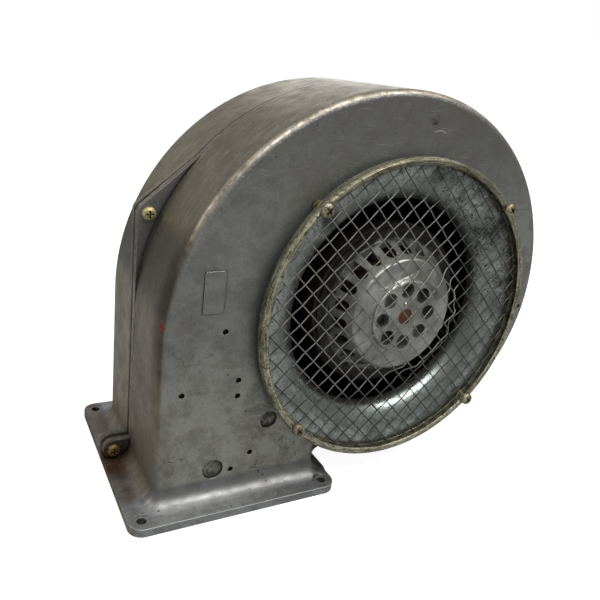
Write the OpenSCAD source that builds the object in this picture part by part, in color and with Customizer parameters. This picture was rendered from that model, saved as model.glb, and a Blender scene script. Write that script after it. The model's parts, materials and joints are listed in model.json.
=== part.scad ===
// Single-inlet centrifugal blower with an external-rotor motor and a die-cast scroll housing.
// Origin: centre of the outlet flange's bottom face. +X right seen from the inlet, +Y away, +Z up.

/* [Scroll] */
// Distance of the wheel's left side from the flange's centre
wheel_left = 19; // [10:1:35]
// Height of the scroll's lowest point above the flange's bottom face
scroll_lift = 13.7; // [10:0.1:25]
// Distance of the scroll's right side from the wheel
gap_right = 37; // [30:1:50]
// Distance of the scroll's top from the wheel
gap_top = 54.7; // [50:0.1:65]
// Distance of the scroll's lowest point from the wheel
gap_bottom = 20.3; // [18:0.1:26]
// Height above the fan axis where the right side of the scroll is widest
right_rise = 8.7; // [4:0.1:14]
// Shift of the upper arcs' centres to the left of the fan axis
top_shift = 9; // [5:0.5:13]
// Wall thickness of the casting
wall = 3; // [2:0.1:4]
// Radius of the outer edges of the casting
edge_r = 5; // [3.5:0.5:7]
// Radius of the inner corners of the casting
inner_edge_r = 2; // [1:0.5:3]
// Radius of the fillet under the tongue
tongue_r = 8; // [5:0.5:10]

/* [Outlet duct and flange] */
// Outer width of the duct
duct_w = 124; // [116:1:132]
// Outer depth of the duct and of the whole casting
duct_d = 124; // [116:1:136]
// Distance of the duct's left wall from the flange's centre
duct_left = 57.5; // [54:0.5:60]
// Distance of the parting seam behind the duct's centre plane
seam_y = 7; // [4:1:12]
// Margin of the outlet flange on the left and right of the duct
flange_side = 15; // [14:0.5:20]
// Margin of the outlet flange in front of and behind the duct
flange_front = 20; // [19:0.5:25]
// Thickness of the outlet flange
flange_t = 6; // [4:0.5:8]
// Corner radius of the outlet flange
flange_corner_r = 10; // [6:1:12]
// Distance of the flange holes from the flange's edges
bolt_inset = 9; // [7:0.5:10]
// Diameter of the flange holes
bolt_hole_d = 6.6; // [5.5:0.1:7]
// Diameter of the spot face round each flange hole
spot_face_d = 12; // [10.5:0.5:13]
// Radius of the fillet between the duct and the flange
foot_r = 12; // [8:0.5:13]

/* [Seam screws] */
// Shank diameter of the seam and guard screws
screw_d = 5; // [4:0.5:5.5]
// Head diameter of the seam and guard screws
head_d = 9.5; // [8.5:0.5:10.5]
// Head height of the seam and guard screws
head_h = 3.8; // [3:0.1:4.5]
// Thickness of each lug at the parting seam
lug_t = 7; // [5:0.5:9]
// Radius of the lugs round the seam screws
lug_r = 7.5; // [6.5:0.5:9]

/* [Inlet nozzle] */
// Radius of the nozzle's throat
throat_r = 81; // [79:0.5:82]
// Radial width of the nozzle's bell
bell_w = 32.3; // [31.8:0.1:33]
// Axial height of the nozzle's bell
bell_h = 20; // [18:0.5:21]
// Height of the nozzle's lip above the casting's front face
lip_stand = 5; // [4:0.5:7]
// Thickness of the nozzle's sheet
nozzle_t = 0.9; // [0.7:0.1:1.2]

/* [Guard] */
// Distance of the guard screws inside the nozzle's outer edge
lip_lap = 2.3; // [2:0.1:3]
// Radius of the rim's rounded section
rim_bead_r = 3; // [2.6:0.1:3.4]
// Depth of the rim's straight outer side
rim_side = 3; // [2.5:0.1:4]
// Thickness of the rim's sheet
rim_t = 0.8; // [0.6:0.1:1]
// Pitch of the mesh
mesh_pitch = 10; // [9:0.5:12]
// Width and thickness of the mesh's wires
wire_t = 1.1; // [0.9:0.1:1.2]
// Radius of the mesh's raised middle
mesh_fold_r = 48; // [46:0.5:52]
// Height of the mesh's raised middle above its rim
mesh_raise = 7; // [6:0.5:9]
// Diameter of the spacers under the rim
spacer_d = 8; // [7.5:0.5:9]

/* [Wheel] */
// Clearance between the nozzle's throat and the inner edges of the blades
throat_gap = 3.5; // [3:0.5:5]
// Radial depth of the blades
blade_depth = 15.5; // [12:0.5:18]
// Distance of the wheel's back plate in front of the casting's rear face
wheel_rear = 19; // [16:0.5:24]
// Number of blades
blade_count = 42; // [36:1:48]
// Thickness of the blades, ring and back plate
blade_t = 1; // [0.8:0.1:1.2]
// Radius of curvature of the blades
blade_curve_r = 11; // [10:0.5:14]
// Angle by which the outer edge of a blade leads its inner edge
blade_lead = 3.5; // [2.5:0.1:4]
// Distance of the wheel's front edge behind the casting's front face
wheel_back = 14; // [12.5:0.5:16]

/* [Rotor] */
// Radius of the hub's front boss
boss_r = 27.5; // [26.5:0.5:30]
// Height of the boss above the hub's flat face
boss_rise = 3; // [2:0.5:5]
// Radius of the hub's flat face
hub_flat_r = 40; // [38:0.5:42]
// Radius of the rounded edge round the hub's flat face
hub_shoulder_r = 3; // [2:0.5:4]
// Thickness of the hub behind its flat face
hub_plate_t = 5; // [4:0.5:6]
// Radius where the hub's flank meets its rim
hub_flank_r = 52; // [51:0.5:53]
// Height of the hub's flank
hub_flank_h = 20; // [18:0.5:22]
// Radius of the hub's rim
hub_rim_r = 60; // [59:0.5:61]
// Thickness of the hub's flank
hub_wall = 4; // [3:0.5:5]
// Distance of the hub's flat face in front of the casting's front face
hub_ahead = 9; // [7:0.5:10]
// Number of holes in the hub's boss
boss_hole_count = 8; // [6:1:9]
// Diameter of the holes in the hub's boss
boss_hole_d = 11.5; // [8:0.5:12]
// Radius of the circle through the boss holes
boss_hole_r = 20; // [19:0.5:20.5]
// Angle of the first boss hole past the top
boss_hole_turn = 5; // [0:0.5:10]
// Number of cooling windows in the hub's flank
window_count = 22; // [18:1:23]
// Width of a cooling window
window_w = 8.5; // [6:0.5:9]
// Outer radius of the rotor's core
core_r = 63; // [62:0.5:64]
// Length of the rotor's core
core_len = 58; // [50:1:60]
// Radial thickness of the rotor's core
core_t = 12; // [11:0.5:13]
// Length of the end ring behind the rotor's core
end_ring_len = 10; // [9:0.5:12]
// Radius of the circle through the wheel screws
wheel_screw_r = 56; // [55.5:0.5:57]

/* [Shaft and motor] */
// Shaft diameter
shaft_d = 12; // [11:0.5:13]
// Running clearance between the shaft and the bearing bores
running_gap = 0.03; // [0.02:0.01:0.06]
// Outer diameter of the bearings
bearing_d = 32; // [30:1:34]
// Width of the bearings
bearing_w = 10; // [8:0.5:12]
// Air gap between the stator and the rotor
air_gap = 0.6; // [0.5:0.1:0.8]
// Radius of the bearing tube
tube_r = 19; // [18.5:0.5:20]
// Radius of the motor flange
motor_flange_r = 72; // [70:1:75]
// Thickness of the motor flange
motor_flange_t = 5; // [4:0.5:7]
// Radius of the opening in the casting's rear face
rear_opening_r = 60; // [58:0.5:61]
// Number of motor screws
motor_screw_count = 4; // [3:1:6]

/* [Hidden] */
$fn = 96;

// Overrun of every cut past the surface it leaves
over = 1;
// Depth to which a fillet bites into the wall it blends with
bite = 0.1;
// Clearance round a screw's shank
shank_gap = 0.3;
// Number of steps in the small rounded corners
corner_steps = 5;

// Heights in front of the duct's centre plane, towards the inlet
face_h = duct_d / 2;
lip_h = face_h + lip_stand;
seam_h = -seam_y;
front_depth = face_h - seam_h;
rear_depth = face_h + seam_h;

// Wheel and scroll follow the throat; the axis lies right of the flange and above it
blade_in_r = throat_r + throat_gap;
wheel_r = blade_in_r + blade_depth;
wheel_w = duct_d - wheel_back - wheel_rear;
face_opening_r = throat_r + bell_w / 2;
guard_r = throat_r + bell_w - lip_lap;
reach_right = wheel_r + gap_right;
reach_top = wheel_r + gap_top;
reach_bottom = wheel_r + gap_bottom;
axis_x = wheel_r + wheel_left;
axis_z = reach_bottom + scroll_lift;

// Outlet flange and its holes
flange_w = duct_w + 2 * flange_side;
flange_d = duct_d + 2 * flange_front;
bolt_dx = flange_w - 2 * bolt_inset;
bolt_dy = flange_d - 2 * bolt_inset;

// Centres and radii of the scroll's arcs, from the reaches
right_c = [axis_x - top_shift, axis_z + right_rise];
right_rho = reach_right + top_shift;
top_rho = axis_x + duct_left - top_shift;
top_c = [axis_x - top_shift, axis_z + reach_top - top_rho];
low_rho = right_rise + reach_bottom;
low_c = [axis_x + reach_right - low_rho, axis_z + right_rise];
duct_right = duct_w - duct_left;
// Angle by which the low arc runs on into the duct past the tongue
tongue_lap = 3;
// Radius of the duct's right-hand edges, as a share of the other edges' radius
tongue_edge_share = 1.12;

function arc_pts(c, r, a0, a1, n) =
    [for (i = [0 : n]) let (a = a0 + (a1 - a0) * i / n) c + r * [cos(a), sin(a)]];
function oval_pts(c, rx, ry, a0, a1, n) =
    [for (i = [0 : n]) let (a = a0 + (a1 - a0) * i / n) c + [rx * cos(a), ry * sin(a)]];
function flip(points) = [for (i = [len(points) - 1 : -1 : 0]) points[i]];
function polar(r, a) = r * [cos(a), sin(a)];

// Draws a front view, in X and Z, as a plate from y0 to y1
module plate(y0, y1) {
    rotate([90, 0, 0])
        translate([0, 0, -y1])
            linear_extrude(y1 - y0)
                children();
}

// Places children that stand on the fan axis, with their own +Z towards the inlet
module on_axis(h = 0) {
    translate([axis_x, -h, axis_z])
        rotate([90, 0, 0])
            children();
}

// Repeats children round their own Z axis
module ring_of(count, start = 0) {
    for (i = [0 : count - 1])
        rotate([0, 0, start + 360 * i / count])
            children();
}

// A tube or disc between two heights
module tube(r_out, r_in, h0, h1) {
    difference() {
        translate([0, 0, h0])
            cylinder(r = r_out, h = h1 - h0);
        translate([0, 0, h0 - over])
            cylinder(r = r_in, h = h1 - h0 + 2 * over);
    }
}

// Pan-head screw: its seat at height 0, its shank going down
module pan_screw(shank_d, cap_d, cap_h, length) {
    slot_t = cap_d * 0.13;
    slot_l = cap_d * 0.55;
    slot_deep = cap_h * 0.5;
    difference() {
        union() {
            rotate_extrude()
                polygon(concat([[0, 0], [cap_d / 2, 0]],
                               oval_pts([0, cap_h * 0.35], cap_d / 2, cap_h * 0.65, 0, 90, 6)));
            translate([0, 0, -length])
                cylinder(d = shank_d, h = length + cap_h / 4);
        }
        for (a = [0, 90])
            rotate([0, 0, a])
                translate([-slot_l / 2, -slot_t / 2, cap_h - slot_deep])
                    cube([slot_l, slot_t, slot_deep + over]);
    }
}

// The casting. Each half is made with its seam at y = 0 and its face at y = depth.

// Section of a scroll arc: its outer corner on the face is rounded
function edge_profile(r, start, depth, e) =
    concat([[0, -start], [r, -start]],
           arc_pts([r - e, e - depth], e, 0, -90, corner_steps),
           [[0, -depth]]);

// A sector of the scroll from one of the level or upright joints, by a sweep either way
module pie(c, r, from, sweep, start, depth, e) {
    translate([c.x, 0, c.y])
        rotate([90, 0, 0])
            rotate([0, 0, from])
                mirror([0, sweep < 0 ? 1 : 0, 0])
                    rotate_extrude(angle = abs(sweep))
                        polygon(edge_profile(r, start, depth, e));
}

// Scroll and duct as one solid, drawn in by inset, from the flange's level foot_z up
module scroll_solid(inset, start, depth, e, foot_z) {
    left = inset - duct_left;
    right = duct_right - inset;
    low_in = low_rho - inset;
    tongue_a = -acos((right - e - low_c.x) / (low_in - e)) - tongue_lap;
    right_e = e * tongue_edge_share;
    core_start = low_c + polar(low_in - 2 * e, tongue_a);
    pie(right_c, right_rho - inset, 0, 90, start, depth, e);
    pie(top_c, top_rho - inset, 90, 90, start, depth, e);
    pie(low_c, low_in, 0, tongue_a, start, depth, e);
    plate(start, depth)
        polygon([core_start, low_c, [top_c.x, low_c.y], top_c,
                 [core_start.x - e, top_c.y], [core_start.x - e, core_start.y]]);
    translate([0, 0, foot_z])
        linear_extrude(top_c.y - foot_z)
            polygon(concat([[left, start], [right, start]],
                           arc_pts([right - right_e, depth - right_e], right_e, 0, 90,
                                   corner_steps),
                           arc_pts([left + e, depth - e], e, 90, 180, corner_steps)));
}

// Concave foot between the duct and the flange, as a profile that starts one edge radius inside
foot_reach = edge_r + foot_r - bite;
foot_profile = concat([[0, flange_t - bite], [foot_reach, flange_t - bite]],
                      arc_pts([foot_reach, flange_t + foot_r], foot_r, -90, -180, 7),
                      [[0, flange_t + foot_r]]);

module foot(depth) {
    for (side = [0, 1]) {
        corner_x = side == 0 ? edge_r - duct_left : duct_right - edge_r;
        translate([corner_x, depth - edge_r, 0])
            rotate([0, 0, 90 - 90 * side])
                rotate_extrude(angle = 90)
                    polygon(foot_profile);
        translate([corner_x, 0, 0])
            mirror([1 - side, 0, 0])
                plate(0, depth - edge_r)
                    polygon(foot_profile);
    }
    translate([edge_r - duct_left, depth - edge_r, 0])
        rotate([90, 0, 90])
            linear_extrude(duct_w - 2 * edge_r)
                polygon(foot_profile);
}

// Fillet in the notch between the duct's right wall and the scroll's low arc
module tongue_fillet(depth) {
    fx = duct_right + tongue_r;
    fz = low_c.y - sqrt(pow(low_rho + tongue_r, 2) - pow(fx - low_c.x, 2));
    meet = atan2(low_c.y - fz, low_c.x - fx);
    tip = low_c + polar(low_rho - wall, 180 + meet);
    plate(0, depth - edge_r)
        polygon(concat([[duct_right - wall, fz]],
                       arc_pts([fx, fz], tongue_r + bite, 180, meet, 8),
                       [tip, [duct_right - wall, fz + 3 * tongue_r]]));
}

module flange_half(depth) {
    half_w = flange_w / 2;
    far = depth + flange_front;
    linear_extrude(flange_t)
        polygon(concat([[-half_w, 0], [half_w, 0]],
                       arc_pts([half_w - flange_corner_r, far - flange_corner_r],
                               flange_corner_r, 0, 90, 8),
                       arc_pts([flange_corner_r - half_w, far - flange_corner_r],
                               flange_corner_r, 90, 180, 8)));
}

// Places of the flange holes in one half
module at_flange_holes(depth) {
    for (side = [-1, 1])
        translate([side * bolt_dx / 2, depth + flange_front - bolt_inset, 0])
            children();
}

// Distance of the round lugs' centres outside the scroll, as a share of their radius
lug_out_share = 0.85;
lug_out = lug_out_share * lug_r;
// Place of the corner lug between the axis and the top of the scroll
corner_share = 0.363;
// Directions of the two lugs on the scroll's right side
upper_lug_a = 38;
lower_lug_a = -38;

// Seam screw places in the front view
corner_lug = [lug_r - duct_left, axis_z + lug_r + (reach_top - 2 * lug_r) * corner_share];
foot_lug = [-(flange_w / 2 - lug_r + 0.5 * bite), flange_t + lug_r];
foot_lug_right = [flange_w / 2 - lug_r, flange_t + lug_r];
upper_lug = right_c + polar(right_rho + lug_out, upper_lug_a);
lower_lug = low_c + polar(low_rho + lug_out, lower_lug_a);
seam_places = [corner_lug, foot_lug, foot_lug_right, upper_lug, lower_lug];

// The corner lug fills the corner between the duct's side line and the scroll's arc
module corner_lug_shape() {
    // Slope and length of the lug's upper side, along the scroll's arc
    rise = 41;
    reach = top_rho * 0.31;
    tip = corner_lug + polar(lug_r, 90 + rise) + polar(reach, rise);
    polygon(concat(arc_pts(corner_lug, lug_r, 90 + rise, 180, 6),
                   [[-duct_left, top_c.y], [wall - duct_left, top_c.y]],
                   [tip + polar(wall, rise - 90)],
                   [tip]));
}

// A round lug with straight flanks that run into the wall behind it
module round_lug_shape(place, toward) {
    run = 2 * lug_r;
    polygon(concat(arc_pts(place, lug_r, toward + 90, toward + 270, 12),
                   [place + polar(lug_r, toward - 90) + polar(run, toward),
                    place + polar(lug_r, toward + 90) + polar(run, toward)]));
}

module lugs() {
    plate(0, lug_t) {
        corner_lug_shape();
        round_lug_shape(foot_lug, 0);
        round_lug_shape(foot_lug_right, 180);
        round_lug_shape(upper_lug, upper_lug_a + 180);
        round_lug_shape(lower_lug, lower_lug_a + 180);
    }
}

module seam_holes(r, y0, y1) {
    plate(y0, y1)
        for (p = seam_places)
            translate(p)
                circle(r);
}

// Room for the heads and a driver beside the duct, in front of the foot lugs
module foot_pockets(depth) {
    // The pocket takes about a third of the depth in front of a lug
    pocket = (depth - lug_t - edge_r) * 0.35;
    plate(lug_t, lug_t + pocket)
        for (p = [foot_lug, foot_lug_right])
            translate(p)
                circle(lug_r + 2 * bite);
}

module casting_half(depth) {
    difference() {
        union() {
            scroll_solid(0, 0, depth, edge_r, 0);
            flange_half(depth);
            foot(depth);
            tongue_fillet(depth);
            lugs();
        }
        scroll_solid(wall, -over, depth - wall, inner_edge_r, -over);
        foot_pockets(depth);
        seam_holes((screw_d + shank_gap) / 2, -over, lug_t + over);
        at_flange_holes(depth)
            translate([0, 0, -over])
                cylinder(d = bolt_hole_d, h = flange_t + 2 * over);
        at_flange_holes(depth)
            translate([0, 0, flange_t - wall / 10])
                cylinder(d = spot_face_d, h = foot_r);
    }
}

// Inlet side of the casting: opening, screw bosses, blind holes, recesses and a bare raised pad

// Places on the front face, as shares of the duct's width and of the axis height
face_hole_shares = [[0.126, 0.654], [0.445, 0.61], [0.443, 0.699], [0.555, 0.259],
                    [0.443, 0.176], [2.46, 0.951], [0.343, 0.97]];
low_recess_share = [0.335, 0.196];
high_recess_share = [0.654, 0.441];
pad_share = [0.264, 1.175];
face_hole_d = 4;
face_hole_deep = 2;
low_recess_d = 15;
high_recess_d = 13;
face_recess_deep = 1.2;
// Size of the bare pad, the radius of its corners and the height by which it stands out
pad_w = 14;
pad_l = 28;
pad_corner_r = 2;
pad_t = 0.6;
// Wall and length of the bosses behind the guard screws
boss_out = 2.5;
boss_len = 8;

function face_place(share) = [share.x * duct_w - duct_left, share.y * axis_z];

module at_guard_screws() {
    ring_of(4, 45)
        translate([guard_r, 0, 0])
            children();
}

module face_marks(places, d, deep) {
    plate(-face_h - over, deep - face_h)
        for (p = places)
            translate(face_place(p))
                circle(d / 2);
}

module blank_pad() {
    plate(-face_h - pad_t, over - face_h)
        translate(face_place(pad_share))
            polygon([for (s = [0 : 3])
                     let (c = [(s == 0 || s == 3 ? 1 : -1) * (pad_w / 2 - pad_corner_r),
                               (s < 2 ? 1 : -1) * (pad_l / 2 - pad_corner_r)])
                     each arc_pts(c, pad_corner_r, 90 * s, 90 * s + 90, 3)]);
}

module front_housing() {
    color([0.62, 0.62, 0.60])
        difference() {
            union() {
                translate([0, seam_y, 0])
                    mirror([0, 1, 0])
                        casting_half(front_depth);
                on_axis()
                    at_guard_screws()
                        translate([0, 0, face_h - wall - boss_len])
                            cylinder(r = screw_d / 2 + boss_out, h = boss_len + wall / 2);
                blank_pad();
            }
            on_axis() {
                translate([0, 0, face_h - wall - over])
                    cylinder(r = face_opening_r, h = wall + 2 * over);
                at_guard_screws()
                    translate([0, 0, face_h - wall - boss_len - over])
                        cylinder(d = screw_d + shank_gap, h = boss_len + wall + 2 * over);
            }
            face_marks(face_hole_shares, face_hole_d, face_hole_deep);
            face_marks([low_recess_share], low_recess_d, face_recess_deep);
            face_marks([high_recess_share], high_recess_d, face_recess_deep);
        }
}

// Motor side of the casting: a raised ring round the opening carries the motor flange
rear_ring_w = 10;
rear_ring_t = 2;
motor_screw_r = (rear_opening_r + motor_flange_r) / 2;
motor_seat_h = -face_h - rear_ring_t;
motor_screw_d = 5;

module rear_housing() {
    color([0.58, 0.58, 0.57])
        difference() {
            union() {
                translate([0, seam_y, 0])
                    casting_half(rear_depth);
                on_axis() {
                    translate([0, 0, motor_seat_h])
                        cylinder(r = motor_flange_r + rear_ring_w / 4, h = rear_ring_t + wall / 2);
                    ring_of(motor_screw_count, 45)
                        translate([motor_screw_r, 0, wall / 2 - face_h])
                            cylinder(r = motor_screw_d / 2 + boss_out, h = boss_len);
                }
            }
            on_axis() {
                translate([0, 0, motor_seat_h - over])
                    cylinder(r = rear_opening_r, h = boss_len + 2 * wall);
                ring_of(motor_screw_count, 45)
                    translate([motor_screw_r, 0, motor_seat_h - over])
                        cylinder(d = motor_screw_d + shank_gap, h = 2 * boss_len);
            }
        }
}

// Seam screws: the heads bear on the front lugs, nuts on the rear ones
nut_w = screw_d * 1.6;
nut_h = screw_d * 0.8;
seam_screw_len = 2 * lug_t + nut_h;

module seam_screws() {
    color([0.75, 0.74, 0.70])
        for (p = seam_places)
            translate([p.x, seam_y - lug_t, p.y])
                rotate([90, 0, 0]) {
                    pan_screw(screw_d, head_d, head_h, seam_screw_len);
                    translate([0, 0, -2 * lug_t - nut_h])
                        difference() {
                            cylinder(d = nut_w / cos(30), h = nut_h, $fn = 6);
                            translate([0, 0, -over])
                                cylinder(d = screw_d, h = nut_h + 2 * over);
                        }
                }
}

// Pressed sheet nozzle: a quarter oval from the lip down to the throat
nozzle_c = [throat_r + bell_w, lip_h - bell_h];

module inlet_nozzle() {
    color([0.70, 0.70, 0.68])
        on_axis()
            difference() {
                rotate_extrude()
                    polygon(concat(oval_pts(nozzle_c, bell_w, bell_h, 90, 180, 14),
                                   flip(oval_pts(nozzle_c, bell_w - nozzle_t, bell_h - nozzle_t,
                                                 90, 180, 14))));
                at_guard_screws()
                    translate([0, 0, lip_h - bell_h / 2])
                        cylinder(d = screw_d + 2 * shank_gap, h = bell_h);
            }
}

// Guard: a rolled rim with its mouth inward grips the edge of the mesh
rim_foot_gap = 1.6;
rim_h0 = lip_h + rim_foot_gap;
rim_c = [guard_r, rim_h0 + rim_side];
rim_top = rim_c.y + rim_bead_r;
rim_out = guard_r + rim_bead_r;
rim_in = guard_r - rim_bead_r;
// Angle through which the rim is rolled
mouth_a = 150;
// Gap between the rim's foot and the mesh
mesh_foot_gap = 0.6;
mesh_h = rim_h0 + rim_t + mesh_foot_gap;
mesh_edge_r = rim_out - rim_t - 2 * bite;

module guard_rim() {
    color([0.66, 0.58, 0.36])
        on_axis()
            difference() {
                rotate_extrude()
                    polygon(concat([[rim_in, rim_h0], [rim_out, rim_h0]],
                                   arc_pts(rim_c, rim_bead_r, 0, mouth_a, 10),
                                   flip(arc_pts(rim_c, rim_bead_r - rim_t, 0, mouth_a, 10)),
                                   [[rim_out - rim_t, rim_h0 + rim_t],
                                    [rim_in, rim_h0 + rim_t]]));
                at_guard_screws()
                    translate([0, 0, rim_h0 - over])
                        cylinder(d = screw_d + shank_gap, h = rim_top - rim_h0 + 2 * over);
            }
}

// Mesh: crossing wires cut from a skin that steps up to a raised middle
mesh_step_w = mesh_raise * 0.9;

module mesh_skin() {
    top = mesh_h + mesh_raise;
    rotate_extrude()
        polygon([[0, top], [mesh_fold_r - mesh_step_w, top], [mesh_fold_r, mesh_h],
                 [mesh_edge_r, mesh_h], [mesh_edge_r, mesh_h + wire_t],
                 [mesh_fold_r + wire_t / 2, mesh_h + wire_t],
                 [mesh_fold_r - mesh_step_w + wire_t / 2, top + wire_t], [0, top + wire_t]]);
}

module guard_mesh() {
    cells = ceil(mesh_edge_r / mesh_pitch) + 1;
    gap = mesh_pitch - wire_t;
    // Cells with their middle beyond this radius stay closed, under the rim
    cell_reach = rim_in + mesh_pitch / 4;
    color([0.68, 0.62, 0.45])
        on_axis()
            difference() {
                mesh_skin();
                at_guard_screws()
                    translate([0, 0, mesh_h - over])
                        cylinder(d = screw_d + 2 * shank_gap, h = 2 * over + wire_t);
                rotate([0, 0, 45])
                    translate([0, 0, mesh_h - over])
                        linear_extrude(mesh_raise + wire_t + 2 * over)
                            for (i = [-cells : cells - 1], j = [-cells : cells - 1])
                                if (norm([i + 1 / 2, j + 1 / 2]) * mesh_pitch < cell_reach)
                                    translate([i * mesh_pitch + wire_t / 2,
                                               j * mesh_pitch + wire_t / 2])
                                        square(gap);
            }
}

module guard_screws() {
    color([0.74, 0.70, 0.60])
        on_axis()
            at_guard_screws()
                translate([0, 0, rim_top + bite])
                    pan_screw(screw_d, head_d, head_h, rim_top - face_h + wall + boss_len / 2);
}

// Spacers: a long one under the nozzle's lip and a washer between the lip and the rim
module guard_spacers() {
    // The long spacer ends where its inner side meets the sloping underside of the lip
    inward = (nozzle_c.x - guard_r + spacer_d / 2) / (bell_w - nozzle_t);
    under_lip_h = nozzle_c.y + (bell_h - nozzle_t) * sqrt(1 - pow(inward, 2));
    color([0.52, 0.44, 0.30])
        on_axis()
            at_guard_screws() {
                tube(spacer_d / 2, (screw_d + shank_gap) / 2, face_h, under_lip_h);
                tube(spacer_d / 2, (screw_d + shank_gap) / 2, lip_h, rim_h0);
            }
}

// Wheel
wheel_top = face_h - wheel_back;
wheel_bottom = wheel_top - wheel_w;
ring_lip = 4;

// One forward-curved blade: its camber is an arc from the inner radius to the outer one
module blade_shape() {
    p = [blade_in_r, 0];
    q = polar(wheel_r - blade_t, blade_lead);
    half = norm(q - p) / 2;
    along = (q - p) / (2 * half);
    centre = (p + q) / 2 + sqrt(pow(blade_curve_r, 2) - half * half) * [-along.y, along.x];
    a0 = atan2(p.y - centre.y, p.x - centre.x);
    a1 = atan2(q.y - centre.y, q.x - centre.x);
    polygon(concat(arc_pts(centre, blade_curve_r + blade_t / 2, a0, a1, 6),
                   flip(arc_pts(centre, blade_curve_r - blade_t / 2, a0, a1, 6))));
}

module impeller_blades() {
    color([0.35, 0.35, 0.35])
        on_axis(wheel_bottom + blade_t)
            ring_of(blade_count)
                linear_extrude(wheel_w - 2 * blade_t)
                    blade_shape();
}

module impeller_ring() {
    color([0.40, 0.40, 0.40])
        on_axis()
            rotate_extrude()
                polygon([[blade_in_r, wheel_top - blade_t], [wheel_r, wheel_top - blade_t],
                         [wheel_r, wheel_top - ring_lip], [wheel_r + blade_t, wheel_top - ring_lip],
                         [wheel_r + blade_t, wheel_top], [blade_in_r, wheel_top]]);
}

// Rotor: a cast hub over the core, with the core's end ring behind it
hub_flat_h = face_h + hub_ahead;
boss_h = hub_flat_h + boss_rise;
hub_rim_h = hub_flat_h - hub_flank_h;
rim_lip_t = 1.5;
core_h1 = hub_rim_h - rim_lip_t;
core_h0 = core_h1 - core_len;
core_in_r = core_r - core_t;
end_ring_h = core_h0 - end_ring_len;
plate_seat_h = end_ring_h - blade_t;
wheel_screw_d = 4;
wheel_screw_count = 6;

module at_wheel_screws() {
    ring_of(wheel_screw_count)
        translate([wheel_screw_r, 0, 0])
            children();
}

// Back plate: a flat rim under the blades, dished forward to the end ring
module impeller_backplate() {
    h = wheel_bottom;
    dish_out = blade_in_r - 2 * blade_t;
    dish_in = core_r + 2 * blade_t;
    color([0.42, 0.42, 0.42])
        on_axis()
            difference() {
                rotate_extrude()
                    polygon([[wheel_screw_r - wheel_screw_d, plate_seat_h],
                             [dish_in, plate_seat_h], [dish_out, h], [wheel_r + blade_t, h],
                             [wheel_r + blade_t, h + blade_t], [dish_out + blade_t / 2, h + blade_t],
                             [dish_in + blade_t / 2, plate_seat_h + blade_t],
                             [wheel_screw_r - wheel_screw_d, plate_seat_h + blade_t]]);
                at_wheel_screws()
                    translate([0, 0, plate_seat_h - over])
                        cylinder(d = wheel_screw_d + shank_gap, h = blade_t + 2 * over);
            }
}

clamp_t = 2;

module wheel_clamp_ring() {
    color([0.60, 0.60, 0.60])
        on_axis()
            difference() {
                tube(core_r, wheel_screw_r - wheel_screw_d, plate_seat_h - clamp_t, plate_seat_h);
                at_wheel_screws()
                    translate([0, 0, plate_seat_h - clamp_t - over])
                        cylinder(d = wheel_screw_d + shank_gap, h = clamp_t + 2 * over);
            }
}

module wheel_screws() {
    cap_d = wheel_screw_d * head_d / screw_d;
    cap_h = wheel_screw_d * head_h / screw_d;
    color([0.72, 0.72, 0.70])
        on_axis()
            at_wheel_screws()
                translate([0, 0, plate_seat_h - clamp_t])
                    mirror([0, 0, 1])
                        pan_screw(wheel_screw_d, cap_d, cap_h, clamp_t + blade_t + end_ring_len / 2);
}

// Hub: boss, flat face, sloping flank with cooling windows, and a rim on the core
hub_plate_h = hub_flat_h - hub_plate_t;
// Length of the hub's bore, as a share of the flank's height
neck_share = 0.7;

module hub_section() {
    shoulder_c = [hub_flat_r, hub_flat_h - hub_shoulder_r];
    drop = shoulder_c.y - hub_rim_h;
    slope = atan2(hub_flank_r - hub_flat_r - hub_shoulder_r, drop);
    soft = boss_rise / 4;
    bore_r = shaft_d / 2;
    neck_r = bore_r + 2 * hub_wall;
    neck_h = hub_flat_h - hub_flank_h * neck_share;
    polygon(concat([[bore_r, boss_h], [bore_r, neck_h], [neck_r, neck_h],
                    [neck_r, hub_plate_h], [hub_flat_r, hub_plate_h],
                    [hub_flank_r - hub_wall, core_h1], [hub_rim_r, core_h1],
                    [hub_rim_r, hub_rim_h], [hub_flank_r, hub_rim_h]],
                   arc_pts(shoulder_c, hub_shoulder_r, slope, 90, 6),
                   [[boss_r + soft, hub_flat_h], [boss_r, hub_flat_h + soft],
                    [boss_r, boss_h - soft], [boss_r - soft, boss_h]]));
}

// One window seen from outside: round towards the inlet, square over the rim
window_sill = 0.8;

module window_shape() {
    translate([0, -window_w / 2])
        square([hub_plate_h - hub_rim_h - window_w / 2 - window_sill, window_w]);
    circle(window_w / 2);
}

module rotor_hub() {
    color([0.66, 0.66, 0.64])
        on_axis()
            difference() {
                rotate_extrude()
                    hub_section();
                ring_of(boss_hole_count, 90 + boss_hole_turn)
                    translate([boss_hole_r, 0, hub_flat_h - hub_wall])
                        cylinder(d = boss_hole_d, h = boss_rise + hub_wall + over);
                ring_of(window_count, 180 / window_count)
                    translate([hub_flat_r - hub_wall, 0, hub_plate_h - window_w / 2])
                        rotate([0, 90, 0])
                            linear_extrude(hub_flank_r)
                                window_shape();
            }
}

module rotor_core() {
    color([0.42, 0.32, 0.26])
        on_axis()
            tube(core_r, core_in_r, core_h0, core_h1);
}

module rotor_end_ring() {
    color([0.64, 0.64, 0.62])
        on_axis()
            difference() {
                tube(core_r, core_in_r, end_ring_h, core_h0);
                at_wheel_screws()
                    translate([0, 0, end_ring_h - over])
                        cylinder(d = wheel_screw_d, h = end_ring_len / 2 + over + clamp_t);
            }
}

// Bearings and shaft
front_bearing_h = hub_flat_h - hub_flank_h - bearing_w;
rear_bearing_h = -face_h + bearing_w;
clip_t = 1;
clip_h = rear_bearing_h - clip_t - bite;
shaft_end_h = clip_h - shaft_d / 4;
groove_deep = 0.5;

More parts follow.
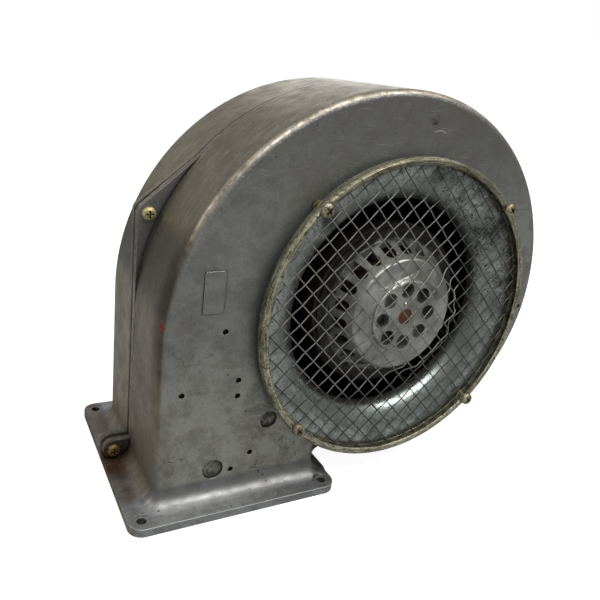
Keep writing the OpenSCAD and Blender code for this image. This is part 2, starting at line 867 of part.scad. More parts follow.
module shaft() {
    color([0.48, 0.40, 0.34])
        on_axis()
            rotate_extrude()
                polygon([[0, shaft_end_h], [shaft_d / 2 - groove_deep, shaft_end_h],
                         [shaft_d / 2, shaft_end_h + groove_deep], [shaft_d / 2, clip_h],
                         [shaft_d / 2 - groove_deep, clip_h],
                         [shaft_d / 2 - groove_deep, clip_h + clip_t],
                         [shaft_d / 2, clip_h + clip_t], [shaft_d / 2, boss_h - groove_deep],
                         [shaft_d / 2 - groove_deep, boss_h], [0, boss_h]]);
}

// Domed rivet that balances the rotor, on the boss between the shaft and the holes
rivet_r = 1.8;
rivet_a = 101;

module balance_rivet() {
    color([0.85, 0.85, 0.82])
        on_axis()
            rotate([0, 0, rivet_a])
                translate([(boss_hole_r - boss_hole_d / 2 + shaft_d / 2) / 2, 0, boss_h])
                    rotate_extrude()
                        polygon(concat([[0, 0]], arc_pts([0, 0], rivet_r, 0, 90, 5)));
}

// Thickness of a bearing ring and depth of its seal, as shares of its section and width
bearing_ring_share = 0.28;
seal_share = 0.08;

// A sealed ball bearing: two rings with a shallow seal between them
module bearing(h) {
    out_r = bearing_d / 2;
    in_r = shaft_d / 2 + running_gap;
    ring_t = (out_r - in_r) * bearing_ring_share;
    seal_deep = bearing_w * seal_share;
    color([0.70, 0.70, 0.72])
        on_axis(h)
            rotate_extrude()
                polygon([[in_r, 0], [in_r + ring_t, 0], [in_r + ring_t, seal_deep],
                         [out_r - ring_t, seal_deep], [out_r - ring_t, 0], [out_r, 0],
                         [out_r, bearing_w], [out_r - ring_t, bearing_w],
                         [out_r - ring_t, bearing_w - seal_deep],
                         [in_r + ring_t, bearing_w - seal_deep], [in_r + ring_t, bearing_w],
                         [in_r, bearing_w]]);
}

module front_bearing() {
    bearing(front_bearing_h);
}

module rear_bearing() {
    bearing(rear_bearing_h);
}

// Wave spring between the rear bearing's outer ring and the shoulder of the tube
spring_t = 2;

module preload_spring() {
    color([0.55, 0.55, 0.58])
        on_axis()
            tube(bearing_d / 2 - bite, bearing_d / 2 - 2 * spring_t,
                 rear_bearing_h + bearing_w, rear_bearing_h + bearing_w + spring_t);
}

module retaining_ring() {
    color([0.30, 0.30, 0.32])
        on_axis()
            difference() {
                tube(shaft_d / 2 + 2 * clip_t, shaft_d / 2 - groove_deep, clip_h, clip_h + clip_t);
                translate([0, -clip_t, clip_h - over])
                    cube([shaft_d, 2 * clip_t, clip_t + 2 * over]);
            }
}

// Stator: a slotted core on the bearing tube, with winding crowns at both ends
stator_r = core_in_r - air_gap;
stator_slots = 18;
slot_mouth = 3;
yoke_t = 9;
yoke_r = tube_r + yoke_t;
crown_len = 8;

module stator_core() {
    color([0.45, 0.45, 0.47])
        on_axis(core_h0)
            linear_extrude(core_len)
                difference() {
                    circle(stator_r);
                    circle(tube_r);
                    ring_of(stator_slots)
                        translate([yoke_r, -slot_mouth / 2])
                            square([stator_r, slot_mouth]);
                }
}

module stator_windings() {
    crown_out = stator_r - 3 * slot_mouth;
    crown_r = crown_len / 3;
    color([0.60, 0.35, 0.18])
        on_axis()
            for (h = [core_h0 - crown_len, core_h1])
                translate([0, 0, h])
                    rotate_extrude()
                        polygon(concat(arc_pts([yoke_r + crown_r, crown_r], crown_r, 180, 270, 4),
                                       arc_pts([crown_out - crown_r, crown_r], crown_r, 270, 360, 4),
                                       arc_pts([crown_out - crown_r, crown_len - crown_r],
                                               crown_r, 0, 90, 4),
                                       arc_pts([yoke_r + crown_r, crown_len - crown_r],
                                               crown_r, 90, 180, 4)));
}

// Motor flange with its bearing tube: a stepped bore holds both bearings
tube_foot_t = 3;
neck_foot_t = 8;
neck_flare = 12;
neck_len = 16;
flange_edge_t = 1;
shelf_w = 3;
gland_r = 6;
gland_wall = 2.5;
gland_place_r = rear_opening_r - 2 * gland_r;

module motor_flange() {
    bore_r = bearing_d / 2;
    inner_r = bore_r - shelf_w;
    flange_neck_r = tube_r + neck_foot_t;
    foot_h = core_h0 - crown_len - tube_foot_t;
    base_h = motor_seat_h;
    top_h = front_bearing_h + bearing_w;
    shelf_h = rear_bearing_h + bearing_w + spring_t;
    color([0.63, 0.63, 0.62])
        on_axis()
            difference() {
                rotate_extrude()
                    polygon([[bore_r, base_h - motor_flange_t],
                             [motor_flange_r - flange_edge_t, base_h - motor_flange_t],
                             [motor_flange_r, base_h - motor_flange_t + flange_edge_t],
                             [motor_flange_r, base_h],
                             [rear_opening_r - bite, base_h],
                             [rear_opening_r - bite, base_h + 2 * rear_ring_t],
                             [flange_neck_r + neck_flare, base_h + 2 * rear_ring_t],
                             [flange_neck_r, base_h + neck_len],
                             [tube_r + tube_foot_t, foot_h],
                             [tube_r + tube_foot_t, core_h0],
                             [tube_r, core_h0],
                             [tube_r, top_h], [bore_r, top_h],
                             [bore_r, front_bearing_h], [inner_r, front_bearing_h],
                             [inner_r, shelf_h], [bore_r, shelf_h]]);
                ring_of(motor_screw_count, 45)
                    translate([motor_screw_r, 0, base_h - motor_flange_t - over])
                        cylinder(d = motor_screw_d + shank_gap, h = motor_flange_t + 2 * over);
                rotate([0, 0, -90])
                    translate([gland_place_r, 0, base_h - motor_flange_t - over])
                        cylinder(r = gland_r, h = motor_flange_t + 3 * rear_ring_t + over);
            }
}

module motor_screws() {
    color([0.74, 0.74, 0.72])
        on_axis(motor_seat_h - motor_flange_t)
            ring_of(motor_screw_count, 45)
                translate([motor_screw_r, 0, 0])
                    mirror([0, 0, 1])
                        pan_screw(motor_screw_d, head_d, head_h, motor_flange_t + boss_len);
}

// Rubber grommet in the wire hole of the motor flange
module wire_grommet() {
    bore_r = gland_r - gland_wall;
    lip_t = rear_ring_t;
    top = motor_seat_h + 2 * rear_ring_t;
    low = motor_seat_h - motor_flange_t;
    color([0.08, 0.08, 0.08])
        on_axis()
            rotate([0, 0, -90])
                translate([gland_place_r, 0, 0])
                    rotate_extrude()
                        polygon([[bore_r, low - lip_t], [gland_r + lip_t, low - lip_t],
                                 [gland_r + lip_t, low], [gland_r, low], [gland_r, top],
                                 [gland_r + lip_t, top], [gland_r + lip_t / 2, top + lip_t],
                                 [bore_r, top + lip_t]]);
}

front_housing();
rear_housing();
seam_screws();
inlet_nozzle();
guard_rim();
guard_mesh();
guard_screws();
guard_spacers();
impeller_blades();
impeller_ring();
impeller_backplate();
wheel_clamp_ring();
wheel_screws();
rotor_hub();
rotor_core();
rotor_end_ring();
shaft();
balance_rivet();
front_bearing();
rear_bearing();
preload_spring();
retaining_ring();
stator_core();
stator_windings();
motor_flange();
motor_screws();
wire_grommet();
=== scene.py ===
"""Dresses a centrifugal blower: its castings, inlet nozzle, wire guard, hub, wheel and motor."""

import json
import math

import bmesh
import bpy
from bpy.props import (
    FloatProperty,
    FloatVectorProperty,
    IntProperty,
    PointerProperty,
)
from mathutils import Matrix, Vector

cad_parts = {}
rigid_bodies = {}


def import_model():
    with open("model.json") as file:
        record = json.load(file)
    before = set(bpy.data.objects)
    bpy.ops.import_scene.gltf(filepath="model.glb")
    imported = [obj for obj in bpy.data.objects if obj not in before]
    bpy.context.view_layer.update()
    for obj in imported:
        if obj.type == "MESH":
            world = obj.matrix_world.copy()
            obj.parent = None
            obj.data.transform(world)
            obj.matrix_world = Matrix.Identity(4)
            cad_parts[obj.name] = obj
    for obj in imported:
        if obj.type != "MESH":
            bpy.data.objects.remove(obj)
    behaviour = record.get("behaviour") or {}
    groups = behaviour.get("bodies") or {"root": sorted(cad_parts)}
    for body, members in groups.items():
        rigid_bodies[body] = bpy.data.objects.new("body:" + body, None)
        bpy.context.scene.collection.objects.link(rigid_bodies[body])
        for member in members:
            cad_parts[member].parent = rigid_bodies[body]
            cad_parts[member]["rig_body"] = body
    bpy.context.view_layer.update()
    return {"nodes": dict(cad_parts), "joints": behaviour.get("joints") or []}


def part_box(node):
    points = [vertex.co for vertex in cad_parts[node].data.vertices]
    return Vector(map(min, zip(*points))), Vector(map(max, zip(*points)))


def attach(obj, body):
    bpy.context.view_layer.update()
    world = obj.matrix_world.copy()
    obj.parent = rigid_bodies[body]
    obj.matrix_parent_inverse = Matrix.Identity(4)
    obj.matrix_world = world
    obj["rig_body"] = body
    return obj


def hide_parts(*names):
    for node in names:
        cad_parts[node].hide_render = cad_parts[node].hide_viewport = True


bl_info = {
    "name": "Centrifugal blower",
    "version": (1, 0, 0),
    "blender": (4, 5, 0),
    "location": "View3D > Sidebar > Blower",
    "description": "Dresses the packed blower with detailed pieces and finishes",
    "category": "Object",
}

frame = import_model()

MM = 0.001
PICTURE_PX = 600
SENSOR_MM = 36.0

SPIN = next(j for j in frame["joints"] if j["name"] == "wheel_spin")
AXIS = Vector(SPIN["pos_m"])
GUARD_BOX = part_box("guard_mesh")
MESH_R = (GUARD_BOX[1].x - GUARD_BOX[0].x) / 2
MESH_T = 1.1 * MM
MESH_RAISE = (GUARD_BOX[1].y - GUARD_BOX[0].y) - MESH_T
SEAM_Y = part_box("front_housing")[1].y

# Measures of the castings, and the places of marks on them and on the nozzle
FACE_Y = -62 * MM
FLANGE_T = 6 * MM
FLANGE_FRONT_Y = -80 * MM
RECESS_TOP = 90 * MM
EAR_Y = -0.7 * MM
EAR_Z = 197 * MM
EAR_HALF = 36 * MM
EAR_TIP = (-19 * MM, 0, 234 * MM)
SEAM_HALF = 0.5 * MM
FOOT_SCREW = (-72 * MM, -4 * MM, 14.5 * MM)
FOOT_POCKET = (-73 * MM, -1 * MM, 16 * MM)
RUST_RUN = (-70 * MM, -30 * MM, 4 * MM)
PAINT_DAB = (-55 * MM, -58 * MM, 135.5 * MM)
EDGE_FLECK = (-41.5 * MM, -58 * MM, 188.5 * MM)
DARK_BAND_Z = 166 * MM
LOW_SMEAR = (20 * MM, FACE_Y, 60 * MM)
HIGH_SMEAR = (-6 * MM, FACE_Y, 228 * MM)
TOP_MARKS = (124.2 * MM, FACE_Y, 270.7 * MM)
ARC_CENTRE = (130.3 * MM, FACE_Y, 253.5 * MM)
ARC_R = 10.5 * MM
NOZZLE_DARK_SPOT = (49.7 * MM, -64.6 * MM, 203.3 * MM)

# Pieces: the gap that joining closes, the angle under which faces merge, the angle over which
# edges are softened, and the weight of flat faces in even shading
JOIN = 0.004 * MM
FLAT_DEG = 0.4
BEVEL_OVER_DEG = 32
EVEN_WEIGHT = 80

# Guard mesh: the length of its slope where steep and what gentleness adds, as shares of its
# rise; the crimp as a share of the wire; the shortest piece of wire as a share of a step
STEEP_RUN = 0.7
GENTLE_RUN = 4.5
CRIMP = 0.42
SHORTEST = 0.2

# Stage: nearest distance that shows, half the floor's width, and the sky's colour, where its
# light starts below the horizon, and its strength there as a share
NEAREST = 0.01
FLOOR_HALF = 40
SKY_COLOUR = (0.96, 0.98, 1.0, 1.0)
SKY_START = -0.1
SKY_LOW = 0.35

# Colours of painted shade in deep hollows
HOLE_SHADE = (0.004, 0.004, 0.004)
PLATE_SHADE = (0.006, 0.005, 0.004)
TURNED_SHADE = (0.01, 0.009, 0.008)
NOZZLE_SHADE = (0.02, 0.022, 0.022)

# Lamps: name, place, what it points at, size in metres, and the setting that holds its power
MIDDLE = (0.09, 0, 0.15)
LAMPS = (
    ("key", (0.15, -0.62, 1.15), MIDDLE, (1.1, 0.5), "key_power"),
    ("spark", (0.69, -0.45, 1.1), (0.12, 0, 0.1), (0.3, 0.2), "spark_power"),
    ("side", (-1.1, 0.2, 0.7), MIDDLE, (0.7, 0.7), "fill_power"),
    ("back", (0.8, 1.15, 0.62), MIDDLE, (0.9, 0.4), "fill_power"),
)


# Node trees written as expressions


class Wire:
    """A socket of a material that can stand in sums and products."""

    def __init__(self, finish, socket):
        self.finish = finish
        self.socket = socket

    def sum_with(self, operation, other, flipped=False):
        pair = (other, self) if flipped else (self, other)
        return self.finish.node("ShaderNodeMath", {"operation": operation},
                                {0: pair[0], 1: pair[1]})[0]

    def __add__(self, other):
        return self.sum_with("ADD", other)

    def __radd__(self, other):
        return self.sum_with("ADD", other, True)

    def __sub__(self, other):
        return self.sum_with("SUBTRACT", other)

    def __rsub__(self, other):
        return self.sum_with("SUBTRACT", other, True)

    def __mul__(self, other):
        return self.sum_with("MULTIPLY", other)

    def __rmul__(self, other):
        return self.sum_with("MULTIPLY", other, True)

    def __truediv__(self, other):
        return self.sum_with("DIVIDE", other)

    def __pow__(self, other):
        return self.sum_with("POWER", other)


class Outputs:
    """The outputs of a node, by number or name."""

    def __init__(self, finish, made):
        self.finish = finish
        self.made = made

    def __getitem__(self, key):
        return Wire(self.finish, self.made.outputs[key])


class Finish:
    """A material and its one shader, filled in by expressions."""

    def __init__(self, name):
        self.material = bpy.data.materials.new(name)
        self.material.use_nodes = True
        self.tree = self.material.node_tree
        self.shader = self.tree.nodes["Principled BSDF"]
        self.place = self.node("ShaderNodeTexCoord")["Object"]

    def node(self, kind, settings=None, values=None):
        """A new node, with its settings first and then the values or wires of its sockets."""
        made = self.tree.nodes.new(kind)
        for key, value in (settings or {}).items():
            setattr(made, key, value)
        for key, value in (values or {}).items():
            self.feed(made.inputs[key], value)
        return Outputs(self, made)

    def feed(self, socket, value):
        if isinstance(value, Wire):
            self.tree.links.new(value.socket, socket)
        elif hasattr(value, "__len__") and len(value) == 3 and len(socket.default_value) == 4:
            socket.default_value = (*value, 1.0)
        else:
            socket.default_value = value

    def set(self, **sockets):
        """Fills sockets of the shader."""
        for key, value in sockets.items():
            self.feed(self.shader.inputs[key.replace("_", " ")], value)
        return self

    def stretched(self, scale, turn=(0, 0, 0), centre=(0, 0, 0)):
        """Coordinates from a centre, turned by degrees and scaled."""
        made = self.node("ShaderNodeMapping", {"vector_type": "POINT"},
                         {"Vector": self.place, "Location": [-c for c in centre]})
        return self.node("ShaderNodeMapping", {"vector_type": "POINT"},
                         {"Vector": made["Vector"], "Rotation": [math.radians(t) for t in turn],
                          "Scale": scale})["Vector"]

    def noise(self, scale, detail=3.0, roughness=0.55, at=None):
        return self.node("ShaderNodeTexNoise", {"noise_dimensions": "3D"},
                         {"Vector": at or self.place, "Scale": scale, "Detail": detail,
                          "Roughness": roughness})[0]

    def cells(self, scale, at=None, output="Color"):
        return self.node("ShaderNodeTexVoronoi", {"feature": "F1"},
                         {"Vector": at or self.place, "Scale": scale})[output]

    def step(self, value, low, high, out_low=0.0, out_high=1.0):
        """Eases from one output at low to the other at high, where high may be the lesser."""
        return self.node("ShaderNodeMapRange", {"interpolation_type": "SMOOTHSTEP"},
                         {0: value, 1: low, 2: high, 3: out_low, 4: out_high})[0]

    def mix(self, factor, first, second):
        """The first colour at no factor, the second at full factor."""
        made = self.tree.nodes.new("ShaderNodeMix")
        made.data_type = "RGBA"
        made.clamp_factor = True
        for number, value in ((0, factor), (6, first), (7, second)):
            self.feed(made.inputs[number], value)
        return Wire(self, made.outputs[2])

    def layers(self, skin, *rows):
        """Lays colours over a skin: each row is a value, where it starts and where it is full,
        an amount and a colour."""
        for value, low, high, amount, colour in rows:
            skin = self.mix(self.step(value, low, high) * amount, skin, colour)
        return skin

    def axis(self, vector, name):
        return self.node("ShaderNodeSeparateXYZ", None, {0: vector})[name]

    def facing(self, name):
        return self.axis(self.node("ShaderNodeTexCoord")["Normal"], name)

    def hollow(self, distance):
        """One in the open, less where the piece's own walls are nearer than a distance."""
        return self.node("ShaderNodeAmbientOcclusion", {"samples": 4, "only_local": True},
                         {"Distance": distance})["AO"]

    def shaken(self, scale, reach):
        """Coordinates that a noise pushes about, for edges that wander."""
        push = self.node("ShaderNodeTexNoise", None,
                         {"Vector": self.place, "Scale": scale, "Detail": 4.0})[1]
        return self.node("ShaderNodeVectorMath", {"operation": "MULTIPLY_ADD"},
                         {0: push, 1: (reach, reach, reach), 2: self.place})[0]

    def cracks(self, scale, low, high, wander):
        """Thin wandering lines: one on a line, nothing beside it."""
        gap = self.node("ShaderNodeTexVoronoi", {"feature": "DISTANCE_TO_EDGE"},
                        {"Vector": self.shaken(130.0, wander), "Scale": scale})[0]
        return self.step(gap, high, low)

    def round_axis(self, along, across):
        """Coordinates that run round the wheel's axis, for streaks that follow a ring."""
        out = self.stretched((1, 1, 1), centre=AXIS)
        x, y, z = (self.axis(out, letter) for letter in "XYZ")
        angle = self.node("ShaderNodeMath", {"operation": "ARCTAN2"}, {0: z, 1: x})[0]
        radius = (x * x + z * z) ** 0.5
        joined = self.node("ShaderNodeCombineXYZ", None,
                           {0: angle * along, 1: radius * across, 2: y * across})
        return joined[0]

    def near(self, value, centre, half, soft):
        """One where the value is within half of a centre, fading out over soft."""
        gap = self.node("ShaderNodeMath", {"operation": "ABSOLUTE"}, {0: value - centre})[0]
        return self.step(gap, half + soft, half)

    def away(self, centre):
        """Distance from a place."""
        return self.node("ShaderNodeVectorMath", {"operation": "DISTANCE"},
                         {0: self.place, 1: centre})["Value"]

    def spot(self, centre, radius, soft):
        """One within a radius of a place, fading out over soft."""
        return self.step(self.away(centre), radius + soft, radius)

    def worn_edges(self, radius, low=0.02, high=0.25):
        """One along sharp edges, nothing on flat places."""
        round_normal = self.node("ShaderNodeBevel", {"samples": 4}, {"Radius": radius})["Normal"]
        flat_normal = self.node("ShaderNodeNewGeometry")["Normal"]
        match = self.node("ShaderNodeVectorMath", {"operation": "DOT_PRODUCT"},
                          {0: round_normal, 1: flat_normal})["Value"]
        return self.step(1.0 - match, low, high)

    def bump(self, height, strength, distance, edge=0.0):
        """Relief in the normal, over edges that look rounded to a radius."""
        made = self.node("ShaderNodeBump", None,
                         {"Height": height, "Strength": strength, "Distance": distance})
        if edge:
            soft = self.node("ShaderNodeBevel", {"samples": 6}, {"Radius": edge})
            self.feed(made.made.inputs["Normal"], soft["Normal"])
        self.feed(self.shader.inputs["Normal"], made["Normal"])
        return self


def linear(red, green, blue):
    """A colour given as 0 to 255 in a picture, as the renderer wants it."""
    def channel(value):
        share = value / 255
        return share / 12.92 if share <= 0.04045 else ((share + 0.055) / 1.055) ** 2.4
    return (channel(red), channel(green), channel(blue))


class Casting(Finish):
    """Old die-cast aluminium: mottled skin, scratches, painted shade in hollows and bright worn
    edges.

    Each stage lays its marks over the skin that it is given."""

    def __init__(self, name, look, side):
        super().__init__(name)
        self.look = look
        self.x, self.y, self.z = (self.axis(self.place, letter) for letter in "XYZ")
        self.mottle = self.noise(75, 9, 0.68)
        self.grain = self.noise(480, 4, 0.65)
        self.pores = self.noise(1600, 2, 0.5)
        self.toward = self.facing("Y") * -1.0
        self.above = self.facing("Z")
        square = self.toward * self.toward
        self.is_face = self.step(square, 0.52, 0.94)
        self.is_wall = self.step(square, 0.5, 0.3)
        self.low = self.step(self.z, 150 * MM, 30 * MM)
        skin = self.ground(side)
        for stage in (self.streaks, self.scratches, self.pits, self.smears, self.hollows,
                      self.front_edge, self.sharp_edges, self.seam, self.foot, self.dab,
                      self.holes):
            skin = stage(skin)
        self.surface(skin)

    def ground(self, side):
        """Paler low on the face and at its right as painted light from the floor, browner on the
        walls, grey on the flange.
        """
        look, z = self.look, self.z
        right = self.step(self.x, 130 * MM, 250 * MM) * self.step(z, 270 * MM, 200 * MM)
        # painted light: the face paler low down and towards its right
        face = self.mix(self.low * 0.5 + right * 0.3, look.face, look.face_low_lit)
        top = self.step(self.above, 0.75, 0.95) * self.step(z, 30 * MM, 20 * MM)
        front = self.step(self.toward, 0.6, 0.9) * self.step(z, 8.5 * MM, 6.5 * MM)
        fillet = self.step(self.y, -50 * MM, -56 * MM) * self.step(z, 21 * MM, 16 * MM)
        self.fillet = fillet * self.step(z, FLANGE_T, FLANGE_T + 2 * MM)
        skin = self.mix(self.is_face, side, face)
        skin = self.mix(top, skin, look.flange)
        skin = self.mix(front, skin, look.flange)
        skin = self.mix(self.fillet, skin, self.mix(0.45, look.flange, look.stain))
        return self.layers(skin,
                           (self.mottle, 0.42, 0.62, 0.42, look.stain),
                           (self.noise(14, 3, 0.5), 0.42, 0.7, 0.25, look.stain),
                           (self.grain, 0.56, 0.74, 0.16, look.bright),
                           (self.grain, 0.46, 0.3, 0.36, look.stain),
                           (self.pores, 0.58, 0.72, 0.4, look.dirt))

    def streaks(self, skin):
        """Streaks that run with the walls, and a darker band where the scroll meets the duct."""
        look = self.look
        off_face = 1.0 - self.is_face
        drawn = self.noise(1.0, 6, 0.7, self.stretched((90, 230, 14)))
        skin = self.layers(skin,
                           (drawn, 0.52, 0.7, off_face * 0.26, look.bright),
                           (drawn, 0.47, 0.3, off_face * 0.4, look.stain))
        # a darker band on the walls where the scroll meets the duct
        turn = self.near(self.z, DARK_BAND_Z, 14 * MM, 20 * MM) * off_face
        turn = turn * self.step(self.x, 0.0, -30 * MM)
        skin = self.mix(turn * 0.6, skin, look.stain)
        return self.mix(turn * 0.22, skin, look.dirt)

    def scratches(self, skin):
        """Long scratches in patches, in three directions, and fine ones high on the face."""
        upright = self.noise(1.0, 3, 0.6, self.stretched((900, 900, 34), (4, 0, 9)))
        slanted = self.noise(1.0, 3, 0.6, self.stretched((760, 760, 22), (0, 52, 0)))
        level = self.noise(1.0, 3, 0.6, self.stretched((26, 600, 1100), (0, -8, 0)))
        fine = self.noise(1.0, 2, 0.6, self.stretched((60, 900, 1500), (0, 20, 0)))
        drawn = self.step(upright, 0.66, 0.74) * 0.5 + self.step(slanted, 0.69, 0.75) * 0.6
        drawn = drawn + self.step(level, 0.66, 0.75) * 0.6
        high = self.step(self.z, 200 * MM, 245 * MM)
        scuffed = high * self.step(self.noise(60, 3, 0.6), 0.45, 0.6)
        self.scratch = drawn * self.step(self.noise(23, 2, 0.5), 0.38, 0.56)
        self.scratch = self.scratch + self.step(fine, 0.6, 0.72) * scuffed * 0.8
        return self.mix(self.scratch * 0.75, skin, self.look.bright)

    def pits(self, skin):
        """Hair cracks, patches of pits, a sooty film on the face, and painted shade darkening the
        face towards its top.
        """
        look = self.look
        veins = self.cracks(26, 0.004, 0.014, 20 * MM) * self.step(self.noise(17, 2), 0.46, 0.62)
        skin = self.mix(veins * (self.low * 0.35 + 0.2), skin, look.dirt)
        patch = self.step(self.noise(42, 2), 0.54, 0.66)
        self.pitted = patch * self.step(self.cells(150, output="Distance"), 0.17, 0.07)
        skin = self.mix(self.pitted * 0.7, skin, look.dirt)
        dark_film = self.noise(24, 6, 0.72)
        return self.layers(skin,
                           (dark_film, 0.54, 0.7, self.is_face * 0.4, look.stain),
                           # painted shade: the face darker towards its top
                           (self.z, 235 * MM, 275 * MM, self.is_face * 0.4, look.stain))

    def smears(self, skin):
        """Brushed dirt in three places on the face, and an arc scratched below the topmost."""
        brushed = self.noise(1.0, 6, 0.75, self.stretched((70, 200, 190), (0, 30, 0)))
        smear = self.spot(LOW_SMEAR, 3 * MM, 26 * MM) * 0.5
        smear = smear + self.spot(HIGH_SMEAR, 3 * MM, 30 * MM) * 0.22
        smear = smear + self.spot(TOP_MARKS, 1.2 * MM, 4 * MM)
        self.smeared = brushed * smear
        skin = self.mix(self.step(brushed, 0.44, 0.6) * smear, skin, self.look.dirt)
        arc = self.near(self.away(ARC_CENTRE), ARC_R, 0.1 * MM, 0.5 * MM)
        arc = arc * self.near(self.x, ARC_CENTRE[0], 4 * MM, 2 * MM)
        arc = arc * self.step(self.z, 260 * MM, 262 * MM)
        return self.mix(arc * 0.85, skin, self.look.bright)

    def hollows(self, skin):
        """Painted shade on the rough floors of the two round recesses, and in all wide hollows."""
        sunk = self.step(self.y, FACE_Y + 0.3 * MM, FACE_Y + 0.9 * MM)
        sunk = sunk * self.step(self.toward, 0.9, 0.98)
        self.sunk = sunk * self.step(self.z, RECESS_TOP + 10 * MM, RECESS_TOP)
        dark = self.noise(150, 4, 0.7)
        return self.layers(skin,
                           # painted shade: recess floors and wide hollows darkened
                           (dark, 0.62, 0.4, self.sunk * 0.75, self.look.dirt),
                           (self.hollow(12 * MM), 0.92, 0.4, 0.6, self.look.dirt))

    def front_edge(self, skin):
        """The rounded front edge: a painted highlight, partly worn metal, high up, and painted
        shade lower down.
        """
        look, x, z, toward = self.look, self.x, self.z, self.toward
        band = self.step(toward, 0.2, 0.45) * self.step(toward, 0.97, 0.75)
        self.band = band * self.step(z, 20 * MM, 30 * MM)
        upper_left = self.step(x - z * 0.9, 0.0, -100 * MM) * self.step(z, 150 * MM, 220 * MM)
        broken = self.step(self.noise(160, 5, 0.7), 0.4, 0.62)
        # painted highlight, partly worn metal, along the upper left of the rounded front edge
        self.rubbed_highlight = self.band * upper_left * broken
        skin = self.mix(self.rubbed_highlight * 0.6, skin, look.rubbed_highlight)
        chalk = self.step(toward, 0.86, 0.96) * self.step(toward, 0.9999, 0.99) * upper_left
        skin = self.layers(skin, (self.noise(620, 4, 0.7), 0.5, 0.62, chalk * 0.55, look.bright))
        # painted shade beside the lower front edge, standing in for a wider rounding
        edge_shade = self.step(self.y, -40 * MM, -55 * MM) * self.step(toward, 0.92, 0.6)
        edge_shade = edge_shade * self.step(x, 0.0, -30 * MM)
        self.edge_shade = edge_shade * self.step(z, 215 * MM, 170 * MM) * self.step(z, 55 * MM, 120 * MM)
        skin = self.mix(self.edge_shade * 0.5, skin, look.dirt)
        return self.mix(self.spot(EDGE_FLECK, 1.2 * MM, 3 * MM) * 0.5, skin, look.rust)

    def sharp_edges(self, skin):
        """Bright metal on sharp edges, but not at the tip of the screw ear."""
        worn = self.step(self.mottle + self.grain * 0.4, 0.5, 0.85)
        wear = self.worn_edges(1.0 * MM, 0.04, 0.3) * worn
        self.wear = wear * (1.0 - self.spot(EAR_TIP, 12 * MM, 6 * MM))
        return self.mix(self.wear * 0.7, skin, self.look.bright)

    def seam(self, skin):
        """The seam between the castings, with a crack that strays from it low on the left."""
        look = self.look
        grown = self.step(self.x, -30 * MM, -55 * MM)
        wander = (self.noise(160, 3) - 0.5) * 1.6 * MM
        across = (self.y - wander - SEAM_Y) / (1.0 + grown * 1.6)
        gap = self.near(across, 0.0, SEAM_HALF, SEAM_HALF) * self.is_wall
        self.gap = gap * self.step(self.noise(90, 3), 0.25, 0.45, 0.6, 1.0)
        stray = (self.noise(45, 4, 0.6) - 0.5) * 22 * MM
        split = self.near(self.y, stray + SEAM_Y - 7 * MM, SEAM_HALF, 0.8 * MM) * self.is_wall
        self.split = split * self.near(self.z, 100 * MM, 20 * MM, 10 * MM) * grown
        burr = self.near(across, -1.5 * MM, 0.2 * MM, 0.4 * MM) * self.is_wall
        burr = burr * self.step(self.noise(240, 3), 0.45, 0.58)
        # painted highlight: a thin bright line where the ear's front meets the wall
        ear = self.near(self.y, EAR_Y, 0.3 * MM, 0.5 * MM) * self.is_wall
        ear = ear * self.near(self.z, EAR_Z, EAR_HALF, 4 * MM)
        ear = ear * self.step(self.x, -12 * MM, -20 * MM)
        skin = self.mix(ear * 0.5, skin, look.bright)
        skin = self.mix(burr * 0.55, skin, look.bright)
        return self.mix(self.gap * 0.95 + self.split * 0.7, skin, look.dirt)

    def foot(self, skin):
        """Rust and a darker patch round the foot screw and on the flange below it, and the flange's
        bright front edge: worn metal with a painted highlight.
        """
        look = self.look
        pocket = self.spot(FOOT_POCKET, 11 * MM, 14 * MM)
        self.pocket = pocket * self.step(self.noise(120, 4, 0.7), 0.3, 0.55)
        below = self.spot(RUST_RUN, 16 * MM, 30 * MM)
        below = below * self.step(self.noise(60, 5, 0.7), 0.4, 0.62)
        corner = self.step(self.x, -60 * MM, -66 * MM) * self.step(self.z, 12 * MM, 7 * MM)
        corner = corner * self.step(self.y, -60 * MM, -47 * MM)
        corner = corner * self.step(self.noise(36, 5, 0.65), 0.3, 0.5, 0.35, 1.0)
        skin = self.mix(self.pocket * 0.45, skin, look.dirt)
        skin = self.mix(self.pocket * 0.3 + below * 0.2 + corner * 0.6, skin, look.rust)
        # painted highlight on worn metal along the flange's front top edge
        edge = self.near(self.z, FLANGE_T - 0.1 * MM, 0.15 * MM, 0.35 * MM)
        edge = edge * self.step(self.above, 0.9, 0.5)
        edge = edge * self.step(self.y, FLANGE_FRONT_Y + 2 * MM, FLANGE_FRONT_Y)
        return self.mix(edge * 0.8, skin, look.bright)

    def dab(self, skin):
        """A small dab of paint on the left edge."""
        dab = self.spot(PAINT_DAB, 1.2 * MM, 3 * MM) * self.step(self.noise(700, 3), 0.3, 0.5)
        return self.mix(dab * 0.85, skin, self.look.paint)

    def holes(self, skin):
        """Painted shade: holes are black inside and darkened round their mouths."""
        tight = self.hollow(3 * MM)
        return self.layers(skin,
                           # painted shade inside holes and round their mouths
                           (tight, 0.97, 0.85, self.is_face * 0.45, self.look.dirt),
                           (tight, 0.8, 0.5, 0.94, HOLE_SHADE))

    def surface(self, skin):
        """Roughness and relief that follow the marks."""
        blotched = self.step(self.noise(130, 4, 0.7), 0.45, 0.65)
        rough = 0.4 + self.step(self.mottle, 0.3, 0.7) * 0.14 + self.pocket * 0.2
        rough = rough + self.edge_shade * 0.25 + self.band * blotched * 0.2
        rough = rough - self.scratch * 0.1 - self.wear * 0.1 - self.rubbed_highlight * 0.12
        rough = rough - self.fillet * 0.03
        relief = self.grain * 0.3 + self.pores * 0.2 + self.mottle * 0.5
        relief = relief - self.scratch * 0.3 - self.pitted * 0.8 - self.gap * 1.5
        relief = relief + self.smeared * 0.5 - self.split
        relief = relief + self.sunk * self.noise(260, 4, 0.7) * 3.0
        self.set(Base_Color=skin, Roughness=rough, Metallic=0.85)
        self.bump(relief, 0.35, 0.35 * MM, self.look.edge_soft)


